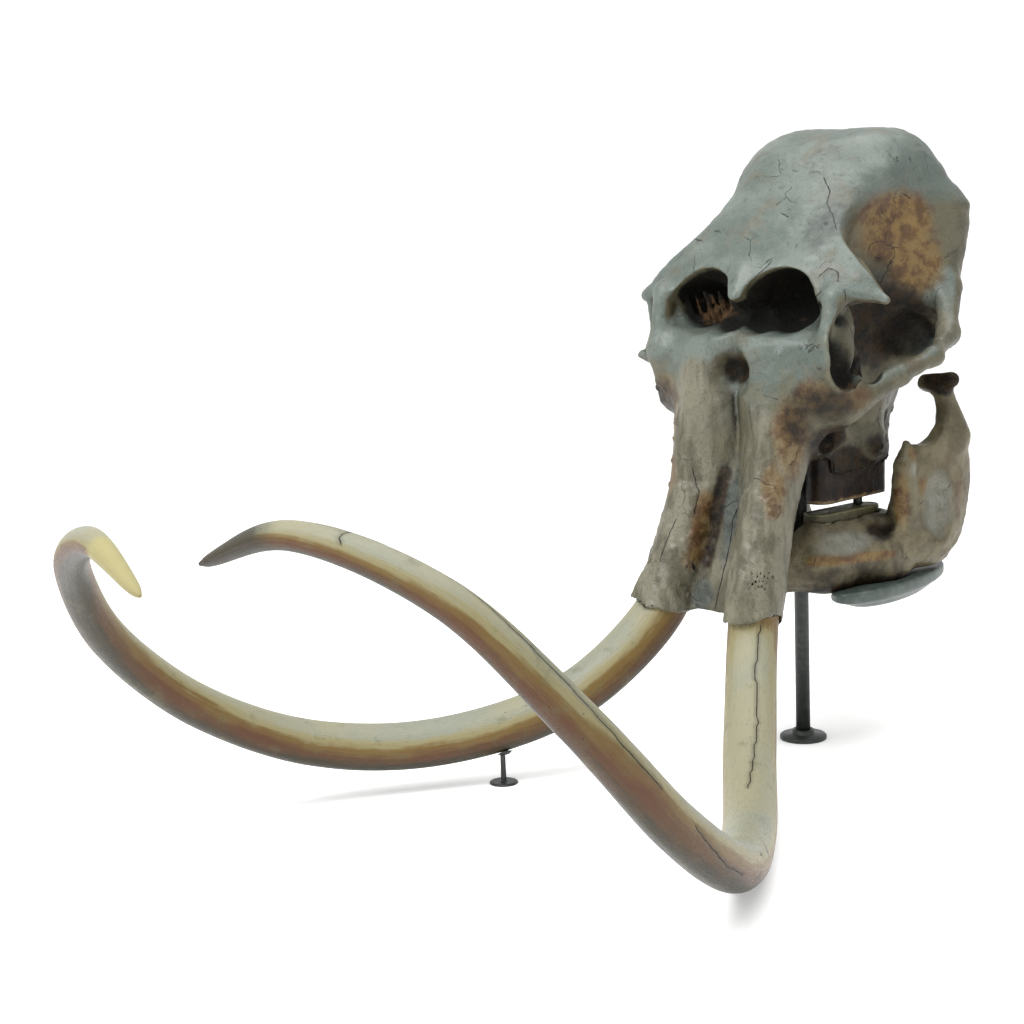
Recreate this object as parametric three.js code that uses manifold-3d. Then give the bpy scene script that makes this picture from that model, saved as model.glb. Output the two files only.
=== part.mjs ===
// Fossil mammoth skull with both tusks, on its steel display stand.
// Millimetres, +Z up. The face and the tusks point to -Y, and +X is the animal's left.
// The origin is the middle of the main post's foot, on the floor.
import * as THREE from "three";
import { mergeVertices } from "three/addons/utils/BufferGeometryUtils.js";
import { SimplifyModifier } from "three/addons/modifiers/SimplifyModifier.js";
import Module from "manifold-3d";

const wasm = await Module();
wasm.setup();

// ---------------------------------------------------------------- driving dimensions
const GAP = 0.3; // between pieces that touch
const SIDES = [["left", 1], ["right", -1]];

const CROWN_TOP = 1602; // highest point of the skull above the floor
const BONE_CELL = 14; // lattice step in which bone is shaped
const CRANIUM_FACES = 3620; // facets left on the cranium
const MANDIBLE_FACES = 1400;

const TUSK_RADIUS = 65; // where the tusk leaves its sheath
const TUSK_FACETS = 12; // round one tusk
const TUSK_STEPS = 34; // along one tusk
const SHEATH_WALL = 10; // bone round the tusk at the sheath's mouth
const SHEATH_MOUTH = { left: 397, right: 410 }; // height of each sheath's broken end
const MOUTH_SHIFT = { left: 13, right: -16 }; // of that end along Y, to stay round its tusk

const POST_RADIUS = 19;
const POST_TOP = 862; // inside the palate
const POST_SOCKET = 866;
const FOOT_RADIUS = 62;
const FOOT_THICKNESS = 12;
const COLLAR_RADIUS = 31;
const COLLAR_HEIGHT = 14;
const ROUND = 20; // facets round a steel piece

const MOLAR_WIDTH = 78;
const UPPER_MOLAR = { length: 300, middle: [104, 58], bottom: 652, height: 154, turn: -2 };
const LOWER_MOLAR = { length: 262, middle: [103, 36], bottom: 556, height: 70, turn: -7 };
const LOWER_BITE = LOWER_MOLAR.bottom + LOWER_MOLAR.height;

const SPACER_RADIUS = 12; // steel peg that holds the jaws apart
const SPACER_PLACE = [108, 106];

const DISH = { middle: [184, 132, 443], halfWidth: 88, halfLength: 234, rim: 32, depth: 58, tilt: 2 };
const ARM = { width: 26, thickness: 12, bottom: 402, reach: 0.75 };

const TUSK_SUPPORT = { left: [385, -761], right: [375, -772] }; // on the floor under each tusk
const SUPPORT_FOOT = { radius: 38, thickness: 6 };
const SUPPORT_ROD = 7;
const SADDLE = { radius: 27, below: 22, above: 34 };
const TUSK_LOW = 600; // the low bend of each tusk lies below this height

// Middle line of each tusk from the root in the sheath to the tip, in equal stretches.
const TUSK_ROOT = [[112, -304, 676], [129, -375, 505]];
const TUSK_LINE = {
  left: [
    [139, -411, 359], [280, -619, 153], [475, -890, 68], [642, -1174, 110], [716, -1451, 282],
    [683, -1680, 531], [512, -1843, 773], [221, -1941, 874], [-56, -1940, 792],
  ],
  right: [
    [139, -422, 413], [271, -613, 211], [469, -880, 121], [635, -1165, 153], [712, -1457, 301],
    [684, -1716, 516], [517, -1917, 730], [228, -2066, 837], [-48, -2165, 781],
  ],
};
// Radius as a share of TUSK_RADIUS, by the share of the whole length from root to tip.
const TUSK_TAPER = [
  [0, 0.99], [0.12, 1], [0.32, 0.965], [0.54, 0.83], [0.75, 0.66], [0.9, 0.49], [0.97, 0.31], [1, 0.1],
];

// ---------------------------------------------------------------- finishes
const finish = (color, roughness, metalness) =>
  new THREE.MeshStandardMaterial({ color, roughness, metalness });
const BONE = finish(0x7f7d72, 0.55, 0);
const JAW_BONE = finish(0x86735d, 0.55, 0);
const IVORY = finish(0x96906a, 0.45, 0);
const ENAMEL = finish(0x4a3a2b, 0.5, 0);
const STEEL = finish(0x2b2e30, 0.45, 0.8);
const DISH_PAINT = finish(0x5f6f6c, 0.4, 0.1);

// ---------------------------------------------------------------- solids
function toSolid(geometry) {
  const bare = geometry.clone();
  bare.deleteAttribute("normal");
  bare.deleteAttribute("uv");
  const merged = mergeVertices(bare, 1e-3);
  return new wasm.Manifold(
    new wasm.Mesh({
      numProp: 3,
      vertProperties: new Float32Array(merged.attributes.position.array),
      triVerts: new Uint32Array(merged.index.array),
    }),
  );
}

function toGeometry(solid) {
  const mesh = solid.getMesh();
  return new THREE.BufferGeometry()
    .setAttribute("position", new THREE.BufferAttribute(mesh.vertProperties, 3))
    .setIndex(new THREE.BufferAttribute(mesh.triVerts, 1));
}

function node(name, geometry, material) {
  const flat = geometry.toNonIndexed();
  flat.computeVertexNormals();
  const mesh = new THREE.Mesh(flat, material);
  mesh.name = name;
  return mesh;
}

// The largest body of a solid, without the crumbs that a cut leaves.
const mainBody = (solid) => solid.decompose().sort((a, b) => b.volume() - a.volume())[0];

// What is left of a piece that sits under another, cut back to GAP below it.
const seatUnder = (solid, above) => mainBody(solid.subtract(above.translate([0, 0, -GAP])));

const join = (solids) => solids.reduce((whole, next) => whole.add(next));

// ---------------------------------------------------------------- curves through hand-set points
// A smooth line through [place, value] pairs that doesn't overshoot them.
function profile(points) {
  const place = points.map((p) => p[0]);
  const value = points.map((p) => p[1]);
  const slope = value.slice(1).map((v, i) => (v - value[i]) / (place[i + 1] - place[i]));
  const tangent = value.map((v, i) => {
    if (i === 0) return slope[0];
    if (i === slope.length) return slope[i - 1];
    const product = slope[i - 1] * slope[i];
    return product > 0 ? (2 * product) / (slope[i - 1] + slope[i]) : 0;
  });
  return (at) => {
    const x = Math.min(Math.max(at, place[0]), place[place.length - 1]);
    let i = 0;
    while (i < slope.length - 1 && x > place[i + 1]) i++;
    const h = place[i + 1] - place[i];
    const s = (x - place[i]) / h;
    const r = 1 - s;
    return (
      (1 + 2 * s) * r * r * value[i] +
      s * r * r * h * tangent[i] +
      s * s * (3 - 2 * s) * value[i + 1] -
      s * s * r * h * tangent[i + 1]
    );
  };
}

// ---------------------------------------------------------------- bone as distances
// Each function gives a distance in mm from a point to a surface, negative inside.
function blend(a, b, soft) {
  const h = Math.max(soft - Math.abs(a - b), 0) / soft;
  return Math.min(a, b) - (h * h * soft) / 4;
}
const trim = (a, b, soft) => -blend(-a, -b, soft);

function rodDistance([x, y, z], { from, to, r }) {
  const d = [to[0] - from[0], to[1] - from[1], to[2] - from[2]];
  const p = [x - from[0], y - from[1], z - from[2]];
  const along = (p[0] * d[0] + p[1] * d[1] + p[2] * d[2]) / (d[0] * d[0] + d[1] * d[1] + d[2] * d[2]);
  const t = Math.min(Math.max(along, 0), 1);
  return Math.hypot(p[0] - t * d[0], p[1] - t * d[1], p[2] - t * d[2]) - (r[0] + (r[1] - r[0]) * t);
}

// An egg-shaped lump; lean tips it about X and yaw and roll turn it about Z and Y, in degrees.
function eggDistance([x, y, z], { at, size, yaw = 0, lean = 0, roll = 0 }) {
  let [px, py, pz] = [x - at[0], y - at[1], z - at[2]];
  const turn = (a, b, degrees) => {
    const s = Math.sin(THREE.MathUtils.degToRad(degrees));
    const c = Math.cos(THREE.MathUtils.degToRad(degrees));
    return [c * a + s * b, c * b - s * a];
  };
  if (yaw) [px, py] = turn(px, py, yaw);
  if (lean) [py, pz] = turn(py, pz, lean);
  if (roll) [pz, px] = turn(pz, px, roll);
  const k0 = Math.hypot(px / size[0], py / size[1], pz / size[2]);
  const k1 = Math.hypot(px / size[0] ** 2, py / size[1] ** 2, pz / size[2] ** 2) + 1e-9;
  return (k0 * (k0 - 1)) / k1;
}

const boneDistance = (p, bone) => (bone.to ? rodDistance(p, bone) : eggDistance(p, bone));
const grow = (d, p, bones) => bones.reduce((sum, bone) => blend(sum, boneDistance(p, bone), bone.soft), d);
const hollow = (d, p, bones) => {
  return bones.reduce((sum, bone) => trim(sum, -boneDistance(p, bone), bone.soft), d);
};

// ---------------------------------------------------------------- cranium
// The braincase, forehead to occiput, as outlines by height above the floor.
const forehead = profile([
  [950, -150], [1050, -215], [1150, -262], [1193, -276], [1250, -240], [1310, -196], [1350, -160],
  [1390, -123], [1430, -88], [1470, -55], [1510, -20], [1550, 23], [1585, 83], [1620, 180],
]);
const templeHalfWidth = profile([
  [1050, 150], [1120, 165], [1160, 240], [1190, 350], [1230, 338], [1270, 303], [1310, 265],
  [1350, 235], [1390, 217], [1430, 207], [1470, 205], [1510, 210], [1550, 212], [1600, 192],
]);
const templeY = profile([
  [1050, -150], [1190, -163], [1270, -159], [1310, -150], [1350, -130], [1390, -99], [1430, -62],
  [1470, -27], [1510, 8], [1550, 48], [1600, 110],
]);
const waistHalfWidth = profile([
  [900, 110], [1000, 130], [1100, 140], [1200, 152], [1300, 168], [1380, 190], [1440, 218], [1500, 238],
  [1560, 232], [1620, 215],
]);
const rearHalfWidth = profile([
  [880, 120], [960, 185], [1050, 250], [1180, 285], [1300, 300], [1390, 306], [1430, 284], [1470, 257],
  [1540, 241], [1620, 200],
]);
const rearCornerY = profile([
  [850, 300], [950, 310], [1050, 290], [1180, 295], [1300, 315], [1390, 325], [1470, 290], [1540, 240],
  [1620, 220],
]);
const occiputY = profile([
  [850, 360], [950, 410], [1050, 415], [1200, 415], [1300, 432], [1400, 432], [1480, 410], [1540, 375],
  [1590, 320], [1620, 270],
]);
const templeEdge = profile([[1190, 14], [1290, 24], [1370, 60], [1440, 100], [1520, 130]]);
const WAIST_SHARE = 0.3; // of the way from temple to rear corner

function braincase([x, y, z]) {
  const half = templeHalfWidth(z);
  const edge = templeY(z);
  const face = forehead(z) + (edge - forehead(z)) * Math.min(x / half, 1.3) ** 2.2;
  const back = Math.min(Math.max((y - edge) / (rearCornerY(z) - edge), 0), 1);
  const waist = waistHalfWidth(z);
  const fromTemple = (half - waist) * Math.max(1 - back / WAIST_SHARE, 0) ** 1.7;
  const flare = THREE.MathUtils.smoothstep(back, WAIST_SHARE, 1);
  const past = Math.max(y - rearCornerY(z), 0);
  const width = waist + fromTemple + (rearHalfWidth(z) - waist - fromTemple) * flare - (past * past) / 150;
  const top =
    CROWN_TOP -
    0.0032 * Math.max(x - 110, 0) ** 2 -
    0.001 * Math.max(190 - y, 0) ** 2 -
    0.0016 * Math.max(y - 250, 0) ** 2;
  const bottom = 905 + 60 * Math.min(Math.max((y - 150) / 250, 0), 1);
  let d = trim((face - y) * 0.8, (x - width) * 0.85, templeEdge(z));
  d = trim(d, y - (occiputY(z) - 0.00045 * x * x), 60);
  d = trim(d, (z - top) * 0.9, 50);
  return trim(d, bottom - z, 50);
}

// The two bony sheaths of the tusks, joined by a web along the middle.
const sheathX = profile([[380, 139], [480, 134], [600, 122], [800, 102], [950, 90], [1100, 80]]);
const sheathY = profile([[380, -420], [480, -385], [600, -335], [800, -255], [950, -208], [1100, -165]]);
const sheathRadius = profile([
  [380, TUSK_RADIUS + SHEATH_WALL], [480, TUSK_RADIUS + SHEATH_WALL - 1], [600, 73], [700, 76], [800, 92],
  [900, 108], [1100, 112],
]);
const SHEATH_SLANT = 0.93; // a level cut through the leaning sheath is longer front to back

const SHEATH_LIP = { from: [178, -440, 502], to: [198, -464, 448], r: [8, 5] }; // right side only
const webFront = profile([
  [380, -412], [480, -376], [600, -327], [700, -302], [830, -271], [900, -256], [1000, -240],
]);
const VALLEY_SLOPE = 0.66; // of the flat flanks that lead down to the web

function sheaths([x, y, z], side) {
  const lean = side === "left" ? 5 * Math.min(Math.max((700 - z) / 250, 0), 1) : 0;
  const cx = sheathX(z) - lean;
  const cy = sheathY(z) + MOUTH_SHIFT[side] * Math.min(Math.max((540 - z) / 160, 0), 1);
  const tube = Math.hypot(x - cx, (y - cy) * SHEATH_SLANT) - sheathRadius(z);
  let web = trim(Math.abs(y - webFront(z) - 46) - 46, x - cx, 20);
  web = trim(web, 416 - z, 12);
  const lip = side === "left" ? 0.7 * Math.max(x - cx - 25, 0) : 0.3 * Math.max(x - cx, 0);
  const mouth = SHEATH_MOUTH[side] + lip - 0.2 * (y - cy);
  let flank = (webFront(z) - VALLEY_SLOPE * x - y) * 0.83;
  flank -= 60 * Math.min(Math.max((700 - z) / 80, 0), 1) + 50 * Math.min(Math.max((z - 850) / 180, 0), 1);
  let d = trim(blend(tube, web, 24), flank, 18) * 0.93;
  if (side === "right") d = blend(d, rodDistance([x, y, z], SHEATH_LIP), 14);
  d = trim(d, mouth - z, 8);
  return trim(d, z - 1100, 40);
}

const FACE_BONES = [
  { from: [240, -125, 1232], to: [370, -161, 1183], r: [58, 9], soft: 34 }, // postorbital process
  { from: [366, -162, 1184], to: [262, -208, 1206], r: [8, 22], soft: 22 }, // upper rim of the orbit
  { from: [205, -172, 1110], to: [216, -165, 1205], r: [34, 40], soft: 30 }, // wall between nose and orbit
  { from: [0, -215, 1234], to: [0, -276, 1190], r: [50, 7], soft: 20 }, // nasal bones
  { from: [262, -226, 1190], to: [262, -250, 1055], r: [26, 28], soft: 36 }, // bar before the orbit
  { from: [60, -200, 1055], to: [262, -212, 1050], r: [60, 45], soft: 60 }, // floor of the nose
  { at: [95, -110, 1000], size: [160, 110, 120], soft: 60 }, // upper jaw
  { from: [262, -212, 1050], to: [255, -186, 940], r: [36, 40], soft: 50 }, // cheek
  { from: [248, -170, 925], to: [150, -120, 865], r: [44, 66], soft: 60 }, // cheek root
  { from: [150, -185, 950], to: [235, -195, 1005], r: [78, 52], soft: 60 }, // top of the sheath
];
const ARCH_BONES = [
  { from: [272, -165, 940], to: [335, -50, 992], r: [40, 27], soft: 30 }, // zygomatic arch, front
  { from: [335, -50, 992], to: [360, 70, 1028], r: [27, 22], soft: 20 },
  { from: [360, 70, 1028], to: [326, 190, 1072], r: [22, 25], soft: 30 }, // arch, rear
  { from: [326, 190, 1072], to: [284, 262, 1185], r: [25, 39], soft: 40 }, // squamosal
  { from: [320, 215, 1058], to: [300, 240, 1040], r: [20, 12], soft: 14 }, // lip before the jaw joint
  { from: [283, -225, 1050], to: [312, -250, 1044], r: [20, 7], soft: 16 }, // lacrimal bump
  { at: [185, -125, 1095], size: [58, 66, 105], soft: 24 }, // inner wall of the orbit
];
const PALATE_BONES = [
  { from: [90, -70, 830], to: [100, 130, 800], r: [66, 64], soft: 60 }, // bone over the upper teeth
  { from: [98, 120, 780], to: [92, 208, 768], r: [58, 44], soft: 40 },
  { from: [85, 130, 900], to: [78, 240, 910], r: [78, 54], soft: 60 }, // pterygoid
  { from: [74, 250, 900], to: [74, 246, 780], r: [46, 34], soft: 30 },
  { from: [50, 380, 985], to: [58, 408, 975], r: [52, 46], soft: 40 }, // occipital condyle
];
const CRANIUM_HOLLOWS = [
  { at: [122, -268, 1186], size: [98, 104, 85], roll: 6, soft: 8 }, // nasal opening, outer lobe
  { at: [50, -275, 1146], size: [72, 100, 44], soft: 10 }, // nasal opening, middle
  { at: [4, -310, 1004], size: [50, 58, 50], soft: 30 }, // hollow below the nose
  { at: [224, 150, 1046], size: [60, 140, 78], soft: 36 }, // pocket between the braincase and the arch
  { at: [288, -211, 1064], size: [38, 60, 94], soft: 12 }, // orbit
  { at: [206, -150, 820], size: [24, 90, 34], yaw: 43, soft: 8 }, // opening below the cheek
  { at: [262, -112, 1046], size: [46, 72, 66], soft: 18 }, // floor of the orbit
  { at: [225, -95, 828], size: [70, 60, 44], soft: 20 }, // behind the cheek root
  { at: [0, 480, 1330], size: [70, 75, 130], soft: 50 }, // nuchal hollow
  { from: [0, 470, 990], to: [0, 330, 990], r: [30, 26], soft: 14 }, // hole for the spinal cord
  { from: [0, 350, 850], to: [0, 200, 890], r: [34, 20], soft: 20 }, // rear of the nose passage
];
const ONE_SIDED_HOLLOWS = {
  left: [{ at: [122, -190, 1180], size: [84, 110, 74], soft: 16 }], // this lobe of the nose runs deep
  right: [{ at: [155, -212, 1168], size: [74, 108, 60], soft: 12 }], // this one reaches out and down
};
const RIGHT_BONES = [
  { from: [350, -166, 1182], to: [272, -226, 1062], r: [14, 20], soft: 26 }, // orbit's upper corner
  { from: [284, -228, 1037], to: [320, -256, 1036], r: [38, 8], soft: 14 }, // pointed bump before the orbit
];

function craniumField(x, y, z) {
  const side = x > 0 ? "left" : "right";
  const p = [Math.abs(x), y, z];
  let d = grow(braincase(p), p, FACE_BONES);
  d = blend(d, sheaths(p, side), 70);
  d = grow(d, p, ARCH_BONES);
  d = grow(d, p, PALATE_BONES);
  d = hollow(hollow(d, p, CRANIUM_HOLLOWS), p, ONE_SIDED_HOLLOWS[side]);
  return side === "right" ? grow(d, p, RIGHT_BONES) : d;
}

// ---------------------------------------------------------------- lower jaw
const CHIN = { from: [0, -192, 522], to: [0, -120, 482], r: [42, 60] };
const MANDIBLE_BONES = [
  { from: [0, -166, 502], to: [115, -60, 507], r: [64, 73], soft: 60 }, // front of the body
  { from: [115, -60, 503], to: [160, 100, 500], r: [74, 80], soft: 60 },
  { from: [160, 100, 500], to: [212, 240, 535], r: [80, 72], soft: 60 },
  { at: [236, 260, 586], size: [48, 113, 128], yaw: -8, soft: 50 }, // angle
  { at: [245, 280, 690], size: [34, 130, 170], yaw: -8, soft: 40 }, // ramus
  { from: [224, 132, 600], to: [226, 140, 735], r: [37, 26], soft: 30 }, // front edge of the ramus
  { from: [226, 140, 735], to: [223, 150, 782], r: [24, 10], soft: 14 }, // coronoid
  { from: [255, 350, 790], to: [240, 314, 905], r: [40, 28], soft: 30 }, // neck of the condyle
  { from: [195, 300, 930], to: [272, 300, 942], r: [24, 24], soft: 24 }, // condyle
  { from: [94, -80, 553], to: [124, 150, 550], r: [60, 62], soft: 40 }, // bone round the teeth
];
const MANDIBLE_HOLLOWS = [
  { at: [306, 214, 625], size: [48, 60, 112], soft: 22 }, // masseteric hollow
  { from: [272, 122, 705], to: [266, 110, 570], r: [17, 17], soft: 14 }, // groove behind the front edge
  { at: [207, 54, 596], size: [34, 48, 28], soft: 14 }, // pit between the teeth and the ramus
  { at: [240, 215, 863], size: [90, 80, 82], lean: -10, soft: 14 }, // notch
  { from: [0, -60, 600], to: [0, 400, 620], r: [70, 130], soft: 40 }, // room for the tongue
];

function mandibleField(x, y, z) {
  const p = [Math.abs(x), y, z];
  return hollow(grow(rodDistance(p, CHIN), p, MANDIBLE_BONES), p, MANDIBLE_HOLLOWS);
}

// ---------------------------------------------------------------- a closed skin round a field
// One point in each lattice cell that the surface passes through, and a quad across each
// lattice edge that it crosses.
function skin(field, low, high, cell) {
  const count = low.map((v, i) => Math.ceil((high[i] - v) / cell) + 1);
  const step = [1, count[0], count[0] * count[1]];
  const value = new Float32Array(step[2] * count[2]);
  for (let k = 0, n = 0; k < count[2]; k++)
    for (let j = 0; j < count[1]; j++)
      for (let i = 0; i < count[0]; i++, n++)
        value[n] = field(low[0] + i * cell, low[1] + j * cell, low[2] + k * cell);

  const corners = [0, 1, 2, 3, 4, 5, 6, 7].map((c) => [c & 1, (c >> 1) & 1, (c >> 2) & 1]);
  const edges = corners.flatMap((a, i) => [1, 2, 4].filter((b) => !(i & b)).map((b) => [i, i | b]));
  const offset = corners.map((c) => c[0] + c[1] * step[1] + c[2] * step[2]);
  const points = [];
  const pointOf = new Int32Array(value.length).fill(-1);
  for (let k = 0; k < count[2] - 1; k++)
    for (let j = 0; j < count[1] - 1; j++)
      for (let i = 0; i < count[0] - 1; i++) {
        const n = i + j * step[1] + k * step[2];
        const sum = [0, 0, 0];
        let crossings = 0;
        for (const [a, b] of edges) {
          const va = value[n + offset[a]];
          const vb = value[n + offset[b]];
          if (va < 0 === vb < 0) continue;
          const t = va / (va - vb);
          for (let m = 0; m < 3; m++) sum[m] += corners[a][m] + t * (corners[b][m] - corners[a][m]);
          crossings++;
        }
        if (!crossings) continue;
        pointOf[n] = points.length / 3;
        [i, j, k].forEach((c, m) => points.push(low[m] + (c + sum[m] / crossings) * cell));
      }

  const index = [];
  for (let k = 1; k < count[2] - 1; k++)
    for (let j = 1; j < count[1] - 1; j++)
      for (let i = 1; i < count[0] - 1; i++) {
        const n = i + j * step[1] + k * step[2];
        for (let m = 0; m < 3; m++) {
          const inside = value[n] < 0;
          if (inside === value[n + step[m]] < 0) continue;
          const u = step[(m + 1) % 3];
          const v = step[(m + 2) % 3];
          const quad = [n - u - v, n - v, n, n - u].map((c) => pointOf[c]);
          if (!inside) quad.reverse();
          index.push(quad[0], quad[1], quad[2], quad[0], quad[2], quad[3]);
        }
      }
  return new THREE.BufferGeometry()
    .setAttribute("position", new THREE.Float32BufferAttribute(points, 3))
    .setIndex(index);
}

async function facetedBone(field, low, high, faces) {
  const fine = skin(field, low, high, BONE_CELL);
  const points = fine.attributes.position.count;
  const share = faces / (fine.index.count / 3);
  return toSolid(await new SimplifyModifier().modify(fine, Math.round(points * (1 - share))));
}

// ---------------------------------------------------------------- tusks
const tuskRadius = profile(TUSK_TAPER);

function tuskCurve(name, side, deeper = 0) {
  const points = [...TUSK_ROOT, ...TUSK_LINE[name]].map(([x, y, z]) => new THREE.Vector3(side * x, y, z));
  points[0].add(points[0].clone().sub(points[1]).setLength(deeper));
  return new THREE.CatmullRomCurve3(points);
}

// A thin thread along the curve, swelled round its middle line to the tusk's radius. With
// room added it is the cutter for the tusk's socket.
function tuskSolid(name, side, room = 0) {
  const curve = tuskCurve(name, side, 2 * room);
  const circle = new THREE.Shape(
    new THREE.EllipseCurve(0, 0, 1, 1).getPoints(TUSK_FACETS).slice(0, TUSK_FACETS),
  );
  const thread = new THREE.ExtrudeGeometry(circle, {
    steps: TUSK_STEPS,
    extrudePath: curve,
    bevelEnabled: false,
  });
  const middles = curve.getSpacedPoints(TUSK_STEPS);
  const position = thread.attributes.position;
  const point = new THREE.Vector3();
  for (let i = 0; i < position.count; i++) {
    point.fromBufferAttribute(position, i);
    const reach = middles.map((m) => m.distanceToSquared(point));
    const ring = reach.indexOf(Math.min(...reach));
    const radius = TUSK_RADIUS * tuskRadius(ring / TUSK_STEPS) + room;
    point.sub(middles[ring]).multiplyScalar(radius).add(middles[ring]);
    position.setXYZ(i, point.x, point.y, point.z);
  }
  return toSolid(thread);
}

// ---------------------------------------------------------------- molars
// A long tooth crown with rounded ends, its chewing face level.
function molarSolid({ length, middle, bottom, height, turn }, side, extra) {
  const half = MOLAR_WIDTH / 2 + extra;
  const straight = length / 2 + extra - half;
  const outline = new THREE.Shape();
  outline.absarc(0, straight, half, 0, Math.PI, false);
  outline.absarc(0, -straight, half, Math.PI, 2 * Math.PI, false);
  outline.closePath();
  const crown = new THREE.ExtrudeGeometry(outline, {
    depth: height + 2 * extra,
    bevelEnabled: false,
    curveSegments: 6,
  });
  crown.rotateZ(THREE.MathUtils.degToRad(side * turn));
  crown.translate(side * middle[0], middle[1], bottom - extra);
  return toSolid(crown);
}

// ---------------------------------------------------------------- steel
function cylinder(radius, from, to, top = radius) {
  const axis = new THREE.Vector3().subVectors(to, from);
  const made = new THREE.CylinderGeometry(top, radius, axis.length(), ROUND);
  made.translate(0, axis.length() / 2, 0);
  const up = new THREE.Vector3(0, 1, 0);
  made.applyQuaternion(new THREE.Quaternion().setFromUnitVectors(up, axis.normalize()));
  made.translate(from.x, from.y, from.z);
  return toSolid(made);
}
const upright = (radius, x, y, from, to, top = radius) =>
  cylinder(radius, new THREE.Vector3(x, y, from), new THREE.Vector3(x, y, to), top);

// Flange with its short collar, bored for the post.
function footSolid() {
  const bore = POST_RADIUS + GAP;
  const rim = 3;
  const profilePoints = [
    [bore, 0], [FOOT_RADIUS, 0], [FOOT_RADIUS, FOOT_THICKNESS - rim], [FOOT_RADIUS - rim, FOOT_THICKNESS],
    [COLLAR_RADIUS, FOOT_THICKNESS + 2], [COLLAR_RADIUS - rim, FOOT_THICKNESS + COLLAR_HEIGHT],
    [bore, FOOT_THICKNESS + COLLAR_HEIGHT], [bore, 0],
  ].map(([r, z]) => new THREE.Vector2(r, z));
  const turned = new THREE.LatheGeometry(profilePoints, ROUND);
  turned.rotateX(Math.PI / 2);
  return toSolid(turned);
}

// Oval dish under the angle of the jaw, tipped up to the rear.
function dishSolid(side) {
  const { middle, halfWidth, halfLength, rim, depth, tilt } = DISH;
  const rings = [[0, -depth], [0.6, -depth], [0.88, -rim - 14], [1, -rim + 4], [1, -6], [0.96, 0], [0, 0]];
  const turned = new THREE.LatheGeometry(rings.map(([r, z]) => new THREE.Vector2(r, z)), ROUND);
  turned.rotateX(Math.PI / 2);
  turned.scale(halfWidth, halfLength, 1);
  turned.rotateX(THREE.MathUtils.degToRad(tilt));
  turned.translate(side * middle[0], middle[1], middle[2]);
  return toSolid(turned);
}

// A dish and the arm that holds it out from the post.
function jawRest(side, mandible) {
  const [x, y] = DISH.middle;
  const reach = ARM.reach * Math.hypot(x, y);
  const bar = new THREE.BoxGeometry(reach, ARM.width, ARM.thickness);
  bar.translate(reach / 2, 0, ARM.bottom + ARM.thickness / 2);
  bar.rotateZ(Math.atan2(y, side * x));
  const arm = toSolid(bar).subtract(upright(POST_RADIUS + GAP, 0, 0, 0, POST_TOP));
  return seatUnder(dishSolid(side).add(arm), mandible);
}

// Foot disc, thin rod and cupped saddle under a tusk.
function tuskSupport(name, side, tusk) {
  const [x, y] = [side * TUSK_SUPPORT[name][0], TUSK_SUPPORT[name][1]];
  const column = upright(1, x, y, 0, TUSK_LOW).intersect(tusk).boundingBox();
  const saddleBottom = Math.max(column.min[2] - SADDLE.below, SUPPORT_FOOT.thickness - 1);
  const cup = new THREE.LatheGeometry(
    [[0, 0], [0.5, 0], [0.88, 0.22], [1, 0.5], [1, 1], [0, 1]].map(([r, z]) => new THREE.Vector2(r, z)),
    ROUND,
  );
  cup.rotateX(Math.PI / 2);
  cup.scale(SADDLE.radius, SADDLE.radius, column.min[2] + SADDLE.above - saddleBottom);
  cup.translate(x, y, saddleBottom);
  const foot = upright(SUPPORT_FOOT.radius, x, y, 0, SUPPORT_FOOT.thickness, SUPPORT_FOOT.radius - 3);
  const rod = upright(SUPPORT_ROD, x, y, SUPPORT_FOOT.thickness / 2, saddleBottom + SADDLE.below / 2);
  return seatUnder(join([foot, rod, toSolid(cup)]), tusk);
}

// Peg that stands on a lower molar and holds up the molar above it.
function jawSpacer(side) {
  const [x, y] = SPACER_PLACE;
  return upright(SPACER_RADIUS, side * x, y, LOWER_BITE + GAP, UPPER_MOLAR.bottom - GAP);
}

// ---------------------------------------------------------------- assembly
const CRANIUM_BOX = [[-420, -566, 330], [420, 500, 1660]];
const MANDIBLE_BOX = [[-330, -330, 370], [330, 470, 1010]];

const group = new THREE.Group();
const add = (name, solid, material) => group.add(node(name, toGeometry(solid), material));

let cranium = await facetedBone(craniumField, ...CRANIUM_BOX, CRANIUM_FACES);
let mandible = await facetedBone(mandibleField, ...MANDIBLE_BOX, MANDIBLE_FACES);
cranium = cranium.subtract(upright(POST_RADIUS + GAP, 0, 0, 0, POST_SOCKET));

for (const [name, side] of SIDES) {
  const tusk = tuskSolid(name, side);
  cranium = cranium.subtract(tuskSolid(name, side, GAP + 0.2)).subtract(molarSolid(UPPER_MOLAR, side, GAP));
  mandible = mandible.subtract(molarSolid(LOWER_MOLAR, side, GAP));
  add(`tusk_${name}`, tusk, IVORY);
  add(`upper_molar_${name}`, molarSolid(UPPER_MOLAR, side, 0), ENAMEL);
  add(`lower_molar_${name}`, molarSolid(LOWER_MOLAR, side, 0), ENAMEL);
  add(`jaw_spacer_${name}`, jawSpacer(side), STEEL);
  add(`tusk_support_${name}`, tuskSupport(name, side, tusk), STEEL);
}
cranium = mainBody(cranium);
mandible = mainBody(mandible);
for (const [name, side] of SIDES) add(`jaw_rest_${name}`, jawRest(side, mandible), DISH_PAINT);
add("cranium", cranium, BONE);
add("mandible", mandible, JAW_BONE);
add("post", upright(POST_RADIUS, 0, 0, 0, POST_TOP), STEEL);
add("post_foot", footSolid(), STEEL);

export default group;
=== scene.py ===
"""Fossil mammoth skull with both tusks on its steel display stand.

Shapes are worked out in millimetres in the frame of the CAD part and laid down in metres.
+Z is up, the face and the tusks point to -Y, and +X is the animal's left.
"""

import math

import bpy
import numpy as np
from mathutils import Matrix, Vector


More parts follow.
